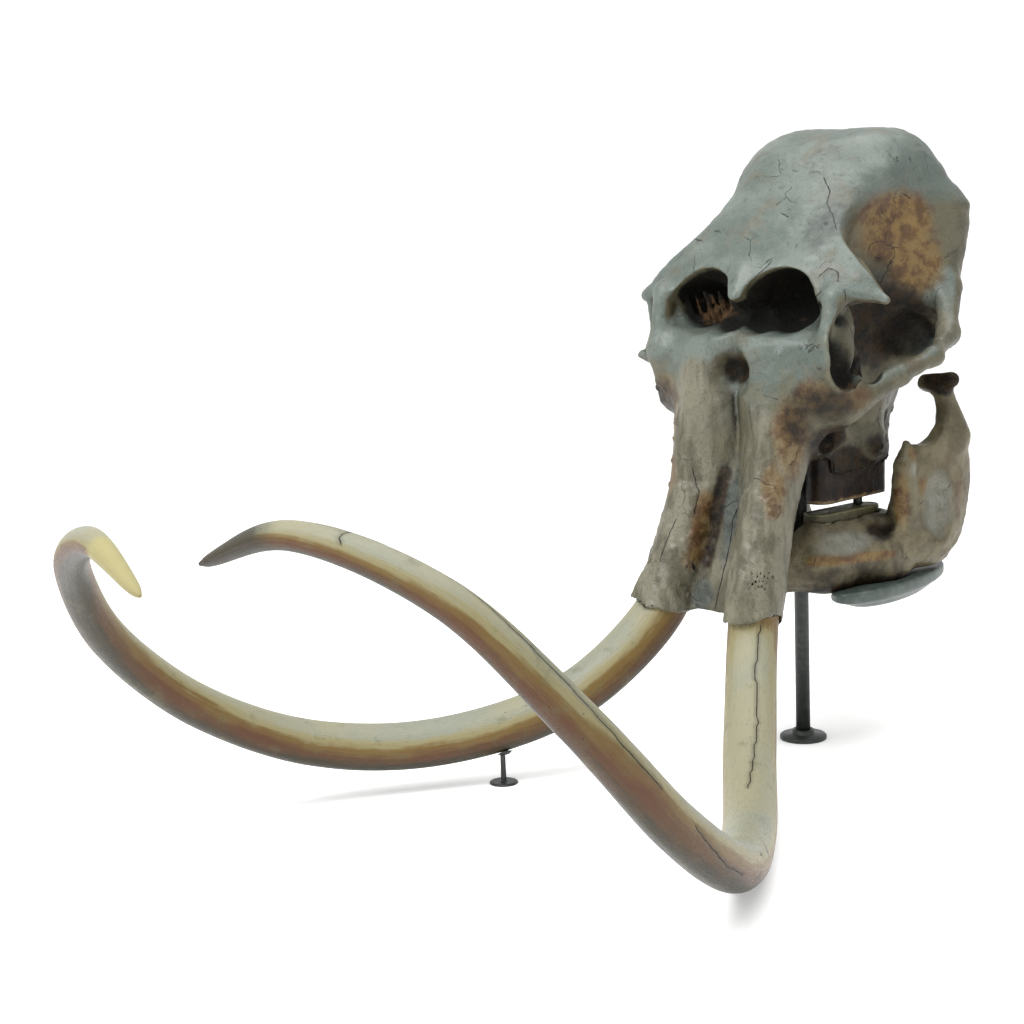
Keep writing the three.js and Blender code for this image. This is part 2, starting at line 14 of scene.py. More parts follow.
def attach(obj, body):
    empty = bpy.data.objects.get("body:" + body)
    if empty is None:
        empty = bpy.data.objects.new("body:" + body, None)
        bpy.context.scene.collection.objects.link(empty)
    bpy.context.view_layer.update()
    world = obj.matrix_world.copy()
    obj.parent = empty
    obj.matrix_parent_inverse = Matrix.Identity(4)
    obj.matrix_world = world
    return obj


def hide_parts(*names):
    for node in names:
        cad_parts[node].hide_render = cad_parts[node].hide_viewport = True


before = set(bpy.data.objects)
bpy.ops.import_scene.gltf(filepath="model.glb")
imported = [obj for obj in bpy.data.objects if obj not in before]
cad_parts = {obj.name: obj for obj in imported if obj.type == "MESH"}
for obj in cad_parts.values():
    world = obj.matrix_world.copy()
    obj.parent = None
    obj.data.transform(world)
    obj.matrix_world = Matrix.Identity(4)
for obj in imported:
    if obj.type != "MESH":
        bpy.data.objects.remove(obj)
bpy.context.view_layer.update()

MM = 0.001
FAR = 1e9
SIDES = {"left": 1, "right": -1}

# ---------------------------------------------------------------- camera
CAMERA_TARGET = (0.0, -1.107, 0.776)
CAMERA_AZIMUTH = 43.03  # degrees from straight ahead of the face towards the animal's left
CAMERA_HEIGHT_ANGLE = 9.53
CAMERA_ROLL = -2.1
CAMERA_DISTANCE = 4.5553
CAMERA_LENS = 72.16  # mm on a 36 mm sensor

# ---------------------------------------------------------------- the object's dimensions, mm
CROWN_TOP = 1600
TUSK_RADIUS = 65
SHEATH_WALL = 10
SHEATH_MOUTH = {"left": 397, "right": 410}
POST_RADIUS = 19
POST_TOP = 862
FOOT_RADIUS = 62
FOOT_THICKNESS = 12
COLLAR_RADIUS = 31
COLLAR_HEIGHT = 14
MOLAR_WIDTH = 78
UPPER_MOLAR = {"length": 300, "middle": (104, 58), "bottom": 652, "height": 154, "turn": -2}
LOWER_MOLAR = {"length": 262, "middle": (103, 36), "bottom": 556, "height": 70, "turn": -7}
SPACER_RADIUS = 12
SPACER_HEIGHT = 25.4
SPACER_PLACE = (108, 106, 626.3)
DISH = {"middle": (184, 132, 443), "half": (88, 234), "rim": 32, "depth": 58, "tilt": 2}
ARM = {"width": 26, "thickness": 12, "bottom": 402, "reach": 0.75}
TUSK_SUPPORT = {"left": (385, -761), "right": (375, -772)}
TUSK_LOW = {"left": 37, "right": 97}  # height of each tusk's underside over its support
GAP = 0.3  # all round the post, inside its foot and the ends of the arms
JAW_SEAT = (1.0, 0.2)  # how far below and round the jaw its dish is cut
TUSK_SEAT = (0.6, 0.4)  # how far below and round a tusk its saddle is cut
TUSK_ROOT = [(112, -304, 676), (129, -375, 505)]
TUSK_LINE = {
    "left": [(139, -411, 359), (280, -619, 153), (475, -890, 68), (642, -1174, 110), (716, -1451, 282),
             (683, -1680, 531), (512, -1843, 773), (221, -1941, 874), (-56, -1940, 792)],
    "right": [(139, -422, 413), (271, -613, 211), (469, -880, 121), (635, -1165, 153), (712, -1457, 301),
              (684, -1716, 516), (517, -1917, 730), (228, -2066, 837), (-48, -2165, 781)],
}
TUSK_TAPER = [(0, 0.99), (0.12, 1), (0.32, 0.965), (0.54, 0.83), (0.75, 0.66), (0.9, 0.49), (0.97, 0.31),
              (0.99, 0.22), (1, 0.1)]


# ---------------------------------------------------------------- curves and distances
def profile(points):
    """A smooth line through (place, value) pairs that doesn't overshoot them."""
    place, value = np.array(points, float).T
    gap = np.diff(place)
    slope = np.diff(value) / gap
    tangent = np.zeros(len(place))
    tangent[0], tangent[-1] = slope[0], slope[-1]
    product = slope[:-1] * slope[1:]
    total = slope[:-1] + slope[1:]
    tangent[1:-1] = np.where(product > 0, 2 * product / np.where(total == 0, 1, total), 0)

    def at(x):
        x = np.clip(x, place[0], place[-1])
        i = np.clip(np.searchsorted(place, x) - 1, 0, len(gap) - 1)
        h = gap[i]
        s = (x - place[i]) / h
        r = 1 - s
        return ((1 + 2 * s) * r * r * value[i] + s * r * r * h * tangent[i]
                + s * s * (3 - 2 * s) * value[i + 1] - s * s * r * h * tangent[i + 1])

    return at


def smooth(x, low, high):
    """0 up to low, 1 from high on, with an even ramp between; low may be the larger."""
    s = np.clip((x - low) / (high - low), 0, 1)
    return s * s * (3 - 2 * s)


def blend(a, b, soft):
    """The nearer of two surfaces, melted together over the distance soft."""
    h = np.maximum(soft - np.abs(a - b), 0) / soft
    return np.minimum(a, b) - h * h * soft / 4


def trim(a, b, soft):
    """What two bodies share, its edge rounded over the distance soft."""
    return -blend(-a, -b, soft)


def rod_distance(p, start, end, radii):
    """To a round bar that tapers from the first radius to the second."""
    start = np.array(start, float)
    d = np.array(end, float) - start
    q = p - start
    t = np.clip(q @ d / (d @ d), 0, 1)
    return np.linalg.norm(q - t[:, None] * d, axis=1) - (radii[0] + (radii[1] - radii[0]) * t)


def egg_distance(p, at, size, yaw=0, lean=0, roll=0):
    """To an ellipsoid of these half sizes, turned by degrees about Z, X and Y."""
    q = p - np.array(at, float)
    for angle, a, b in ((yaw, 0, 1), (lean, 1, 2), (roll, 2, 0)):
        if angle:
            s, c = math.sin(math.radians(angle)), math.cos(math.radians(angle))
            q = q.copy()
            q[:, a], q[:, b] = c * q[:, a] + s * q[:, b], c * q[:, b] - s * q[:, a]
    size = np.array(size, float)
    k0 = np.linalg.norm(q / size, axis=1)
    k1 = np.linalg.norm(q / size**2, axis=1) + 1e-9
    return k0 * (k0 - 1) / k1


def rod(start, end, radii, soft):
    """A tapered bar, with how softly it meets the bone."""
    return lambda p: rod_distance(p, start, end, radii), soft


def egg(at, size, soft, **turns):
    """An ellipsoid, with how softly it meets the bone."""
    return lambda p: egg_distance(p, at, size, **turns), soft


def grow(d, p, bones):
    """The surface d with these parts added one after another."""
    for distance, soft in bones:
        d = blend(d, distance(p), soft)
    return d


def hollow(d, p, bones):
    """The surface d with these parts cut away one after another."""
    for distance, soft in bones:
        d = trim(d, -distance(p), soft)
    return d


# ---------------------------------------------------------------- seeded noise
def hashed(cells, seed):
    h = (cells[..., 0] * 374761393 + cells[..., 1] * 668265263 + cells[..., 2] * 2147483647 + seed * 974711)
    h = (h ^ (h >> 13)) * 1274126177
    h = h & 0x7FFFFFFF
    return ((h ^ (h >> 16)) & 0xFFFF) / 65535.0


def noise(points, size, seed):
    """Smooth noise between -1 and 1 with features of about size."""
    q = points / size
    base = np.floor(q).astype(np.int64)
    f = q - base
    f = f * f * f * (f * (f * 6 - 15) + 10)
    total = 0
    for c in range(8):
        o = np.array([c & 1, (c >> 1) & 1, (c >> 2) & 1])
        weight = np.prod(np.where(o, f, 1 - f), -1)
        total = total + weight * hashed(base + o, seed)
    return total * 2 - 1


def layered(points, size, seed, layers=3, fade=0.5):
    return sum(fade**i * noise(points, size / 2**i, seed + 17 * i) for i in range(layers))


# ---------------------------------------------------------------- braincase, as outlines by height
forehead = profile([
    (950, -150), (1050, -215), (1150, -262), (1193, -276), (1250, -240), (1310, -196), (1350, -160),
    (1390, -123), (1430, -88), (1470, -55), (1510, -20), (1550, 23), (1585, 83), (1620, 180)])
temple_half_width = profile([
    (1050, 150), (1120, 165), (1160, 240), (1190, 350), (1230, 338), (1270, 303), (1310, 265),
    (1350, 235), (1390, 217), (1430, 207), (1470, 205), (1510, 210), (1550, 212), (1600, 192)])
temple_y = profile([
    (1050, -150), (1190, -163), (1270, -159), (1310, -150), (1350, -130), (1390, -99), (1430, -62),
    (1470, -27), (1510, 8), (1550, 48), (1600, 110)])
waist_half_width = profile([
    (900, 110), (1000, 130), (1100, 140), (1200, 152), (1300, 168), (1380, 190), (1440, 218), (1500, 238),
    (1560, 232), (1620, 215)])
rear_half_width = profile([
    (880, 120), (960, 185), (1050, 250), (1180, 285), (1300, 300), (1390, 306), (1430, 284), (1470, 257),
    (1540, 241), (1620, 200)])
rear_corner_y = profile([
    (850, 300), (950, 310), (1050, 290), (1180, 295), (1300, 315), (1390, 325), (1470, 290), (1540, 240),
    (1620, 220)])
occiput_y = profile([
    (850, 360), (950, 410), (1050, 415), (1200, 415), (1300, 432), (1400, 432), (1480, 410), (1540, 375),
    (1590, 320), (1620, 270)])
temple_edge = profile([(1190, 14), (1290, 24), (1370, 60), (1440, 100), (1520, 130)])
WAIST_SHARE = 0.3  # of the way from the temple to the rear corner
BRAINCASE_FLOOR = 905
FLOOR_RISE = 60  # of its rear part


def braincase(p):
    """Forehead, sides, rear, crown and floor, trimmed against each other."""
    x, y, z = p.T
    half, edge, corner = temple_half_width(z), temple_y(z), rear_corner_y(z)
    face = forehead(z) + (edge - forehead(z)) * np.minimum(x / half, 1.3) ** 2.2
    back = np.clip((y - edge) / (corner - edge), 0, 1)
    waist = waist_half_width(z)
    from_temple = (half - waist) * np.maximum(1 - back / WAIST_SHARE, 0) ** 1.7
    flare = smooth(back, WAIST_SHARE, 1)
    past = np.maximum(y - corner, 0)
    width = waist + from_temple + (rear_half_width(z) - waist - from_temple) * flare - past * past / 150
    top = (CROWN_TOP - 0.0032 * np.maximum(x - 110, 0) ** 2 - 0.001 * np.maximum(190 - y, 0) ** 2
           - 0.0016 * np.maximum(y - 250, 0) ** 2)
    bottom = BRAINCASE_FLOOR + FLOOR_RISE * np.clip((y - 150) / 250, 0, 1)
    d = trim((face - y) * 0.8, (x - width) * 0.85, temple_edge(z))
    d = trim(d, y - (occiput_y(z) - 0.00045 * x * x), 60)
    d = trim(d, (z - top) * 0.9, 50)
    return trim(d, bottom - z, 50)


# ---------------------------------------------------------------- bony sheaths of the tusks
sheath_x = profile([(380, 139), (480, 134), (600, 122), (800, 102), (950, 90), (1100, 80)])
sheath_y = profile([(380, -420), (480, -385), (600, -335), (800, -255), (950, -208), (1100, -165)])
MOUTH_SHIFT = {"left": 13, "right": -16}  # of a sheath's end along Y, to stay round its tusk
sheath_radius = profile([
    (380, TUSK_RADIUS + SHEATH_WALL), (480, TUSK_RADIUS + SHEATH_WALL - 1), (600, 73), (700, 76),
    (800, 92), (900, 108), (1100, 112)])
SHEATH_TOP = 1100
SHEATH_SLANT = 0.93  # a level cut through the leaning sheath is longer front to back
web_front = profile([
    (380, -412), (480, -376), (600, -327), (700, -302), (830, -271), (900, -256), (1000, -240)])
WEB_HALF = 46
WEB_BOTTOM = 416
VALLEY_SLOPE = 0.66  # of the flat flanks that lead down to the web
VALLEY_DEPTHS = (60, 50)  # by which the flanks stand off below and above the valley
LIP_FLARE = ((178, -440, 502), (198, -464, 448), (8, 5))  # on the edge of the right sheath


def sheaths(p, left):
    """A tube round each tusk and the web between them; left tells the side, p has x >= 0."""
    x, y, z = p.T
    cx = sheath_x(z) - np.where(left, 5 * np.clip((700 - z) / 250, 0, 1), 0)
    shift = np.where(left, MOUTH_SHIFT["left"], MOUTH_SHIFT["right"])
    cy = sheath_y(z) + shift * np.clip((540 - z) / 160, 0, 1)
    tube = np.hypot(x - cx, (y - cy) * SHEATH_SLANT) - sheath_radius(z)
    web = trim(np.abs(y - web_front(z) - WEB_HALF) - WEB_HALF, x - cx, 20)
    web = trim(web, WEB_BOTTOM - z, 12)
    lip = np.where(left, 0.7 * np.maximum(x - cx - 25, 0), 0.3 * np.maximum(x - cx, 0))
    mouth = np.where(left, SHEATH_MOUTH["left"], SHEATH_MOUTH["right"]) + lip - 0.2 * (y - cy)
    mouth = mouth + 5 * layered(p * (1, 1, 0.3), 34, 5, 2)
    flank = (web_front(z) - VALLEY_SLOPE * x - y) * 0.83
    flank -= VALLEY_DEPTHS[0] * np.clip((735 - z) / 80, 0, 1)
    flank -= VALLEY_DEPTHS[1] * np.clip((z - 850) / 180, 0, 1)
    d = trim(blend(tube, web, 24), flank, 18) * 0.93
    d = np.where(left, d, blend(d, rod_distance(p, *LIP_FLARE), 14))
    d = trim(d, mouth - z, 8)
    return trim(d, z - SHEATH_TOP, 40)


FACE_BONES = [
    rod((240, -125, 1232), (370, -161, 1183), (58, 9), 34),  # postorbital process
    rod((366, -162, 1184), (262, -208, 1206), (8, 22), 22),  # upper rim of the orbit
    rod((205, -172, 1110), (216, -165, 1205), (34, 40), 30),  # wall between nose and orbit
    rod((0, -215, 1234), (0, -276, 1190), (50, 7), 20),  # nasal bones
    rod((262, -226, 1190), (262, -250, 1055), (26, 28), 36),  # bar before the orbit
    rod((60, -200, 1055), (262, -212, 1050), (60, 45), 60),  # floor of the nose
    egg((95, -110, 1000), (160, 110, 120), 60),  # upper jaw
    rod((262, -212, 1050), (255, -186, 940), (36, 40), 50),  # cheek
    rod((248, -170, 925), (150, -120, 865), (44, 66), 60),  # cheek root
    rod((150, -185, 950), (235, -195, 1005), (78, 52), 60),  # top of the sheath
]
ARCH_BONES = [
    rod((272, -165, 940), (335, -50, 992), (40, 27), 30),  # zygomatic arch, front
    rod((335, -50, 992), (360, 70, 1028), (27, 22), 20),
    rod((360, 70, 1028), (326, 190, 1072), (22, 25), 30),  # arch, rear
    rod((326, 190, 1072), (284, 262, 1185), (25, 39), 40),  # squamosal
    rod((320, 215, 1058), (300, 240, 1040), (20, 12), 14),  # lip before the jaw joint
    rod((334, -18, 988), (334, -6, 968), (10, 3), 10),  # spur under the arch
    rod((283, -225, 1050), (312, -250, 1044), (20, 7), 16),  # lacrimal bump
    egg((185, -125, 1095), (58, 66, 105), 24),  # inner wall of the orbit
]
PALATE_BONES = [
    rod((90, -70, 830), (100, 130, 800), (66, 64), 60),  # bone over the upper teeth
    rod((98, 120, 780), (92, 208, 768), (58, 44), 40),
    rod((100, -30, 752), (100, 165, 752), (54, 50), 30),  # bone down over the roots of the teeth
    rod((85, 130, 900), (78, 240, 910), (78, 54), 60),  # pterygoid
    rod((74, 250, 900), (74, 246, 780), (46, 34), 30),
    rod((50, 380, 985), (58, 408, 975), (52, 46), 40),  # occipital condyle
]
ORBIT_HOLLOWS = [
    egg((288, -211, 1064), (38, 60, 94), 12),
    egg((262, -112, 1046), (46, 72, 66), 18),  # its floor
]
ORBIT_BONES = [
    egg((230, -170, 1064), (46, 50, 84), 8),  # bulge of its front wall
]
CRANIUM_HOLLOWS = [
    egg((262, -90, 1092), (9, 92, 50), 5, yaw=43),  # slit behind the bulge
    egg((286, -112, 1005), (27, 86, 30), 8, yaw=43),  # its wider lower end
    egg((208, -152, 813), (34, 92, 44), 10, yaw=43),  # opening below the cheek
    egg((122, -268, 1186), (98, 104, 85), 8, roll=6),  # nasal opening, outer lobe
    egg((50, -275, 1146), (72, 100, 44), 10),  # nasal opening, middle
    egg((4, -310, 1004), (50, 58, 50), 30),  # hollow below the nose
    egg((224, 150, 1046), (60, 140, 78), 36),  # pocket between the braincase and the arch
    egg((225, -95, 828), (70, 60, 44), 20),  # behind the cheek root
    egg((0, 480, 1330), (70, 75, 130), 50),  # nuchal hollow
    rod((0, 470, 990), (0, 330, 990), (30, 26), 14),  # hole for the spinal cord
    rod((0, 350, 850), (0, 200, 890), (34, 20), 20),  # rear of the nose passage
]
RIGHT_BONES = [
    rod((-350, -166, 1182), (-272, -226, 1062), (14, 20), 26),  # fills the upper corner of the right orbit
    rod((-284, -228, 1037), (-320, -256, 1036), (38, 8), 14),  # pointed bump before the right orbit
]
ONE_SIDED_HOLLOWS = [
    egg((122, -190, 1180), (84, 110, 74), 16),  # the left lobe of the nose runs deep
    egg((-155, -212, 1168), (74, 108, 60), 12),  # the right lobe reaches out and down
]
# Thin bars of bone across the right lobe: the foot of the first and the top of the last.
STRUTS_FROM, STRUTS_TO = np.array((-208, -150, 1112)), np.array((-24, -176, 1190))
STRUT_COUNT = 11
TUSK_SOCKET_ROOM = -0.5
MOLAR_SOCKET_ROOM = 1.0
POST_SOCKET_RADIUS = POST_RADIUS + 1.5


def nose_struts():
    """Thin leaning bars of bone at seeded places, each with a branch."""
    places = np.random.default_rng(23)
    made = []
    for x in np.linspace(STRUTS_FROM[0], STRUTS_TO[0], STRUT_COUNT):
        low = np.array((x, *STRUTS_FROM[1:])) + places.uniform(-9, 9, 3)
        high = low + (places.uniform(-26, 26), *(STRUTS_TO - STRUTS_FROM)[1:])
        thick = places.uniform(3.5, 7.0, 2)
        made.append(rod(low, high, (thick[0] + 3, thick[1]), 8))
        branch = (24, places.uniform(-12, 12), places.uniform(18, 46))
        made.append(rod(low + (0, 0, 30), low + branch, thick, 6))
    return made


NOSE_STRUTS = nose_struts()


def cranium_field(p, hollowed=True):
    """The whole bone, or the bone before its openings are cut."""
    left = p[:, 0] > 0
    q = p.copy()
    q[:, 0] = np.abs(q[:, 0])
    d = grow(braincase(q), q, FACE_BONES)
    d = blend(d, sheaths(q, left), 70)
    d = grow(d, q, ARCH_BONES)
    d = grow(d, q, PALATE_BONES)
    if not hollowed:
        return d
    d = grow(hollow(d, q, ORBIT_HOLLOWS), q, ORBIT_BONES)
    d = np.where(left, d, grow(d, p, RIGHT_BONES))
    d = hollow(d, q, CRANIUM_HOLLOWS)
    near = (p[:, 1] < -60) & (p[:, 2] > 1050) & (p[:, 2] < 1290)
    if near.any():
        d[near] = hollow(d[near], p[near], ONE_SIDED_HOLLOWS)
    near &= p[:, 0] < 20
    if near.any():
        d[near] = grow(d[near], p[near], NOSE_STRUTS)
    for side in SIDES:
        near = (left if side == "left" else ~left) & (q[:, 2] < 540) & (d < 40)
        if near.any():
            d[near] = np.maximum(d[near], -tusk_distance(p[near], side, TUSK_SOCKET_ROOM, 10))
    d = np.maximum(d, -molar_distance(q, UPPER_MOLAR, MOLAR_SOCKET_ROOM))
    return np.maximum(d, -rod_distance(p, (0, 0, 300), (0, 0, POST_TOP - 12), (POST_SOCKET_RADIUS,) * 2))


# ---------------------------------------------------------------- lower jaw
MANDIBLE_BONES = [
    rod((0, -166, 502), (115, -60, 507), (64, 73), 60),  # front of the body
    rod((115, -60, 503), (160, 100, 500), (74, 80), 60),
    rod((160, 100, 500), (212, 240, 535), (80, 72), 60),
    egg((236, 260, 586), (48, 113, 128), 50, yaw=-8),  # angle
    egg((245, 280, 690), (34, 130, 170), 40, yaw=-8),  # ramus
    rod((224, 132, 600), (226, 140, 735), (37, 26), 30),  # front edge of the ramus
    rod((226, 146, 735), (224, 160, 786), (28, 14), 14),  # coronoid
    rod((255, 350, 790), (240, 314, 905), (40, 28), 30),  # neck of the condyle
    rod((195, 300, 930), (272, 300, 942), (24, 24), 24),  # condyle
    rod((94, -80, 553), (124, 150, 550), (60, 62), 40),  # bone round the teeth
    rod((138, -128, 519), (210, 40, 520), (15, 20), 26),  # ridge along the body
]
MANDIBLE_HOLLOWS = [
    egg((302, 218, 622), (46, 54, 104), 9),  # masseteric hollow
    rod((272, 124, 705), (266, 112, 560), (16, 16), 7),  # groove behind the front edge
    egg((207, 54, 596), (34, 48, 28), 14),  # pit between the teeth and the ramus
    egg((240, 215, 863), (90, 80, 82), 14, lean=-10),  # notch
    rod((0, -60, 600), (0, 400, 620), (70, 130), 40),  # room for the tongue
]


def mandible_field(p):
    q = p.copy()
    q[:, 0] = np.abs(q[:, 0])
    d = grow(rod_distance(q, (0, -192, 522), (0, -120, 482), (42, 60)), q, MANDIBLE_BONES)
    d = hollow(d, q, MANDIBLE_HOLLOWS)
    return np.maximum(d, -molar_distance(q, LOWER_MOLAR, MOLAR_SOCKET_ROOM))


# ---------------------------------------------------------------- teeth and tusks as distances
def molar_distance(p, tooth, room):
    """To a long crown with rounded ends; p has x >= 0."""
    a = math.radians(tooth["turn"])
    x, y = p[:, 0] - tooth["middle"][0], p[:, 1] - tooth["middle"][1]
    across = math.cos(a) * x + math.sin(a) * y
    along = math.cos(a) * y - math.sin(a) * x
    straight = tooth["length"] / 2 - MOLAR_WIDTH / 2
    flat = np.hypot(across, np.maximum(np.abs(along) - straight, 0)) - MOLAR_WIDTH / 2
    level = np.abs(p[:, 2] - tooth["bottom"] - tooth["height"] / 2) - tooth["height"] / 2
    return np.maximum(flat, level) - room


def catmull_rom(points, steps):
    """Points evenly spaced along a centripetal Catmull-Rom curve."""
    points = np.array(points, float)
    padded = np.vstack([2 * points[0] - points[1], points, 2 * points[-1] - points[-2]])
    dense = []
    for i in range(len(points) - 1):
        p0, p1, p2, p3 = padded[i:i + 4]
        dt0, dt1, dt2 = (np.linalg.norm(b - a) ** 0.5 for a, b in ((p0, p1), (p1, p2), (p2, p3)))
        t1 = ((p1 - p0) / dt0 - (p2 - p0) / (dt0 + dt1) + (p2 - p1) / dt1) * dt1
        t2 = ((p2 - p1) / dt1 - (p3 - p1) / (dt1 + dt2) + (p3 - p2) / dt2) * dt1
        t = np.linspace(0, 1, 60, endpoint=False)[:, None]
        dense.append(p1 + t1 * t + (3 * (p2 - p1) - 2 * t1 - t2) * t**2 + (2 * (p1 - p2) + t1 + t2) * t**3)
    dense = np.vstack(dense + [points[-1:]])
    run = np.r_[0, np.cumsum(np.linalg.norm(np.diff(dense, axis=0), axis=1))]
    even = np.linspace(0, run[-1], steps + 1)
    return np.stack([np.interp(even, run, dense[:, k]) for k in range(3)], -1), run[-1]


tusk_taper = profile(TUSK_TAPER)
TUSK_STEPS = 60  # of the coarse tusk that sockets and saddles are cut round


def tusk_line(side, steps):
    points = [(SIDES[side] * x, y, z) for x, y, z in TUSK_ROOT + TUSK_LINE[side]]
    return catmull_rom(points, steps)


def tusk_distance(p, side, room, last):
    """To the first steps of a tusk, up to last, thickened by room."""
    line = tusk_line(side, TUSK_STEPS)[0]
    best = np.full(len(p), FAR)
    for i in range(last):
        radii = [TUSK_RADIUS * tusk_taper(np.array([k / TUSK_STEPS]))[0] + room for k in (i, i + 1)]
        best = np.minimum(best, rod_distance(p, line[i], line[i + 1], radii))
    return best


# ---------------------------------------------------------------- skins
def lattice(field, low, high, cell, coarse=4):
    """Field values on a lattice, worked out exactly only near the surface."""
    low = np.array(low, float)
    blocks = np.ceil((np.array(high) - low) / (cell * coarse)).astype(int)
    axes = [low[i] + np.arange(blocks[i] + 1) * cell * coarse for i in range(3)]
    points = np.stack(np.meshgrid(*axes, indexing="ij"), -1).reshape(-1, 3)
    value = field(points).reshape(blocks + 1)
    for axis in range(3):
        parts = [value.take(range(blocks[axis]), axis) * (1 - k / coarse)
                 + value.take(range(1, blocks[axis] + 1), axis) * (k / coarse) for k in range(coarse)]
        stacked = np.stack(parts, axis + 1)
        shape = list(value.shape)
        shape[axis] = blocks[axis] * coarse
        value = np.concatenate([stacked.reshape(shape), value.take([-1], axis)], axis)
    near = np.nonzero(np.abs(value) < cell * coarse * 1.4)  # a little over one coarse block
    value[near] = field(np.stack(near, -1) * cell + low)
    return value, low


def skin(field, low, high, cell, coarse=4):
    """A closed quad skin round a field: one point a cell, one quad a crossed lattice edge."""
    value, low = lattice(field, low, high, cell, coarse)
    inside = value < 0
    n = np.array(value.shape)
    total = np.zeros((*(n - 1), 3), np.float32)
    crossings = np.zeros(n - 1, np.float32)
    corners = [((c & 1), (c >> 1) & 1, (c >> 2) & 1) for c in range(8)]

    def part(o, array):
        return array[tuple(slice(o[i], n[i] - 1 + o[i]) for i in range(3))]

    for corner in corners:
        for axis in range(3):
            if corner[axis]:
                continue
            other = tuple(c + (i == axis) for i, c in enumerate(corner))
            a, b = part(corner, value), part(other, value)
            crossed = part(corner, inside) != part(other, inside)
            share = np.where(crossed, a / np.where(crossed, a - b, 1), 0)
            for i in range(3):
                total[..., i] += crossed * (share if i == axis else corner[i])
            crossings += crossed
    cells = np.nonzero(crossings)
    number = np.full(n - 1, -1)
    number[cells] = np.arange(len(cells[0]))
    points = (np.stack(cells, -1) + total[cells] / crossings[cells][:, None]) * cell + low
    quads = []
    for axis in range(3):
        u, v = (axis + 1) % 3, (axis + 2) % 3
        first = inside.take(range(n[axis] - 1), axis)
        edge = np.argwhere(first != inside.take(range(1, n[axis]), axis))
        edge = edge[(edge[:, u] > 0) & (edge[:, v] > 0) & (edge[:, u] < n[u] - 1) & (edge[:, v] < n[v] - 1)]
        ring = []
        for du, dv in ((1, 1), (0, 1), (0, 0), (1, 0)):
            at = edge.copy()
            at[:, u] -= du
            at[:, v] -= dv
            ring.append(number[tuple(at.T)])
        ring = np.stack(ring, -1)
        quads.append(np.where(first[tuple(edge.T)][:, None], ring, ring[:, ::-1]))
    return points, np.concatenate(quads)


def gradient(field, points, step=1.5):
    slopes = [field(points + step * e) - field(points - step * e) for e in np.eye(3)]
    g = np.stack(slopes, -1) / (2 * step)
    return g, g / (np.linalg.norm(g, axis=1)[:, None] + 1e-9)


def settle(field, points, most):
    """Points moved onto the surface, but no further than most."""
    g, n = gradient(field, points)
    steep = np.maximum(np.linalg.norm(g, axis=1), 0.5)
    shift = np.clip(field(points) / steep, -most, most)
    return points - n * shift[:, None]


def surface_normals(points, quads):
    across = np.cross(points[quads[:, 2]] - points[quads[:, 0]], points[quads[:, 3]] - points[quads[:, 1]])
    normals = np.zeros_like(points)
    for i in range(4):
        for k in range(3):
            normals[:, k] += np.bincount(quads[:, i], across[:, k], len(points))
    return normals / (np.linalg.norm(normals, axis=1)[:, None] + 1e-12)


# ---------------------------------------------------------------- meshes
def place(name, points, faces, material, slot):
    """A piece that stands for the node of the same name."""
    mesh = bpy.data.meshes.new(name)
    mesh.from_pydata((points * MM).tolist(), [], [tuple(f) for f in faces])
    mesh.polygons.foreach_set("use_smooth", [True] * len(mesh.polygons))
    mesh.materials.append(material)
    piece = bpy.data.objects.new(name, mesh)
    bpy.context.scene.collection.objects.link(piece)
    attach(piece, "root")
    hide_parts(name)
    return piece


def mark(piece, **layers):
    """Named values at each point, for the materials to read."""
    for name, values in layers.items():
        layer = piece.data.attributes.new(name, "FLOAT", "POINT")
        layer.data.foreach_set("value", np.asarray(values, np.float32))


def band(rows, columns, closed_rows=False):
    """Quads between rows of points, each row a closed ring of columns points."""
    quads = []
    for r in range(rows if closed_rows else rows - 1):
        s = (r + 1) % rows
        for c in range(columns):
            d = (c + 1) % columns
            quads.append((r * columns + c, r * columns + d, s * columns + d, s * columns + c))
    return quads


def fans(rows, columns):
    """Triangles that close both ends of a band with the two points that follow its own."""
    first, last = rows * columns, rows * columns + 1
    start = (rows - 1) * columns
    made = []
    for c in range(columns):
        d = (c + 1) % columns
        made += [(first, d, c), (last, start + c, start + d)]
    return made


def lathe(outline, columns):
    """A closed turned solid: outline runs from the axis to the axis, or closes on itself."""
    turn = np.linspace(0, 2 * math.pi, columns, endpoint=False)
    loop = outline[0] == outline[-1]
    rows = outline[:-1] if loop else outline[1:-1]
    points = [np.stack([r * np.cos(turn), r * np.sin(turn), np.full(columns, z)], -1) for r, z in rows]
    quads = band(len(rows), columns, loop)
    points = np.vstack(points)
    if loop:
        return points, quads
    points = np.vstack([points, (0, 0, outline[0][1]), (0, 0, outline[-1][1])])
    return points, quads + fans(len(rows), columns)


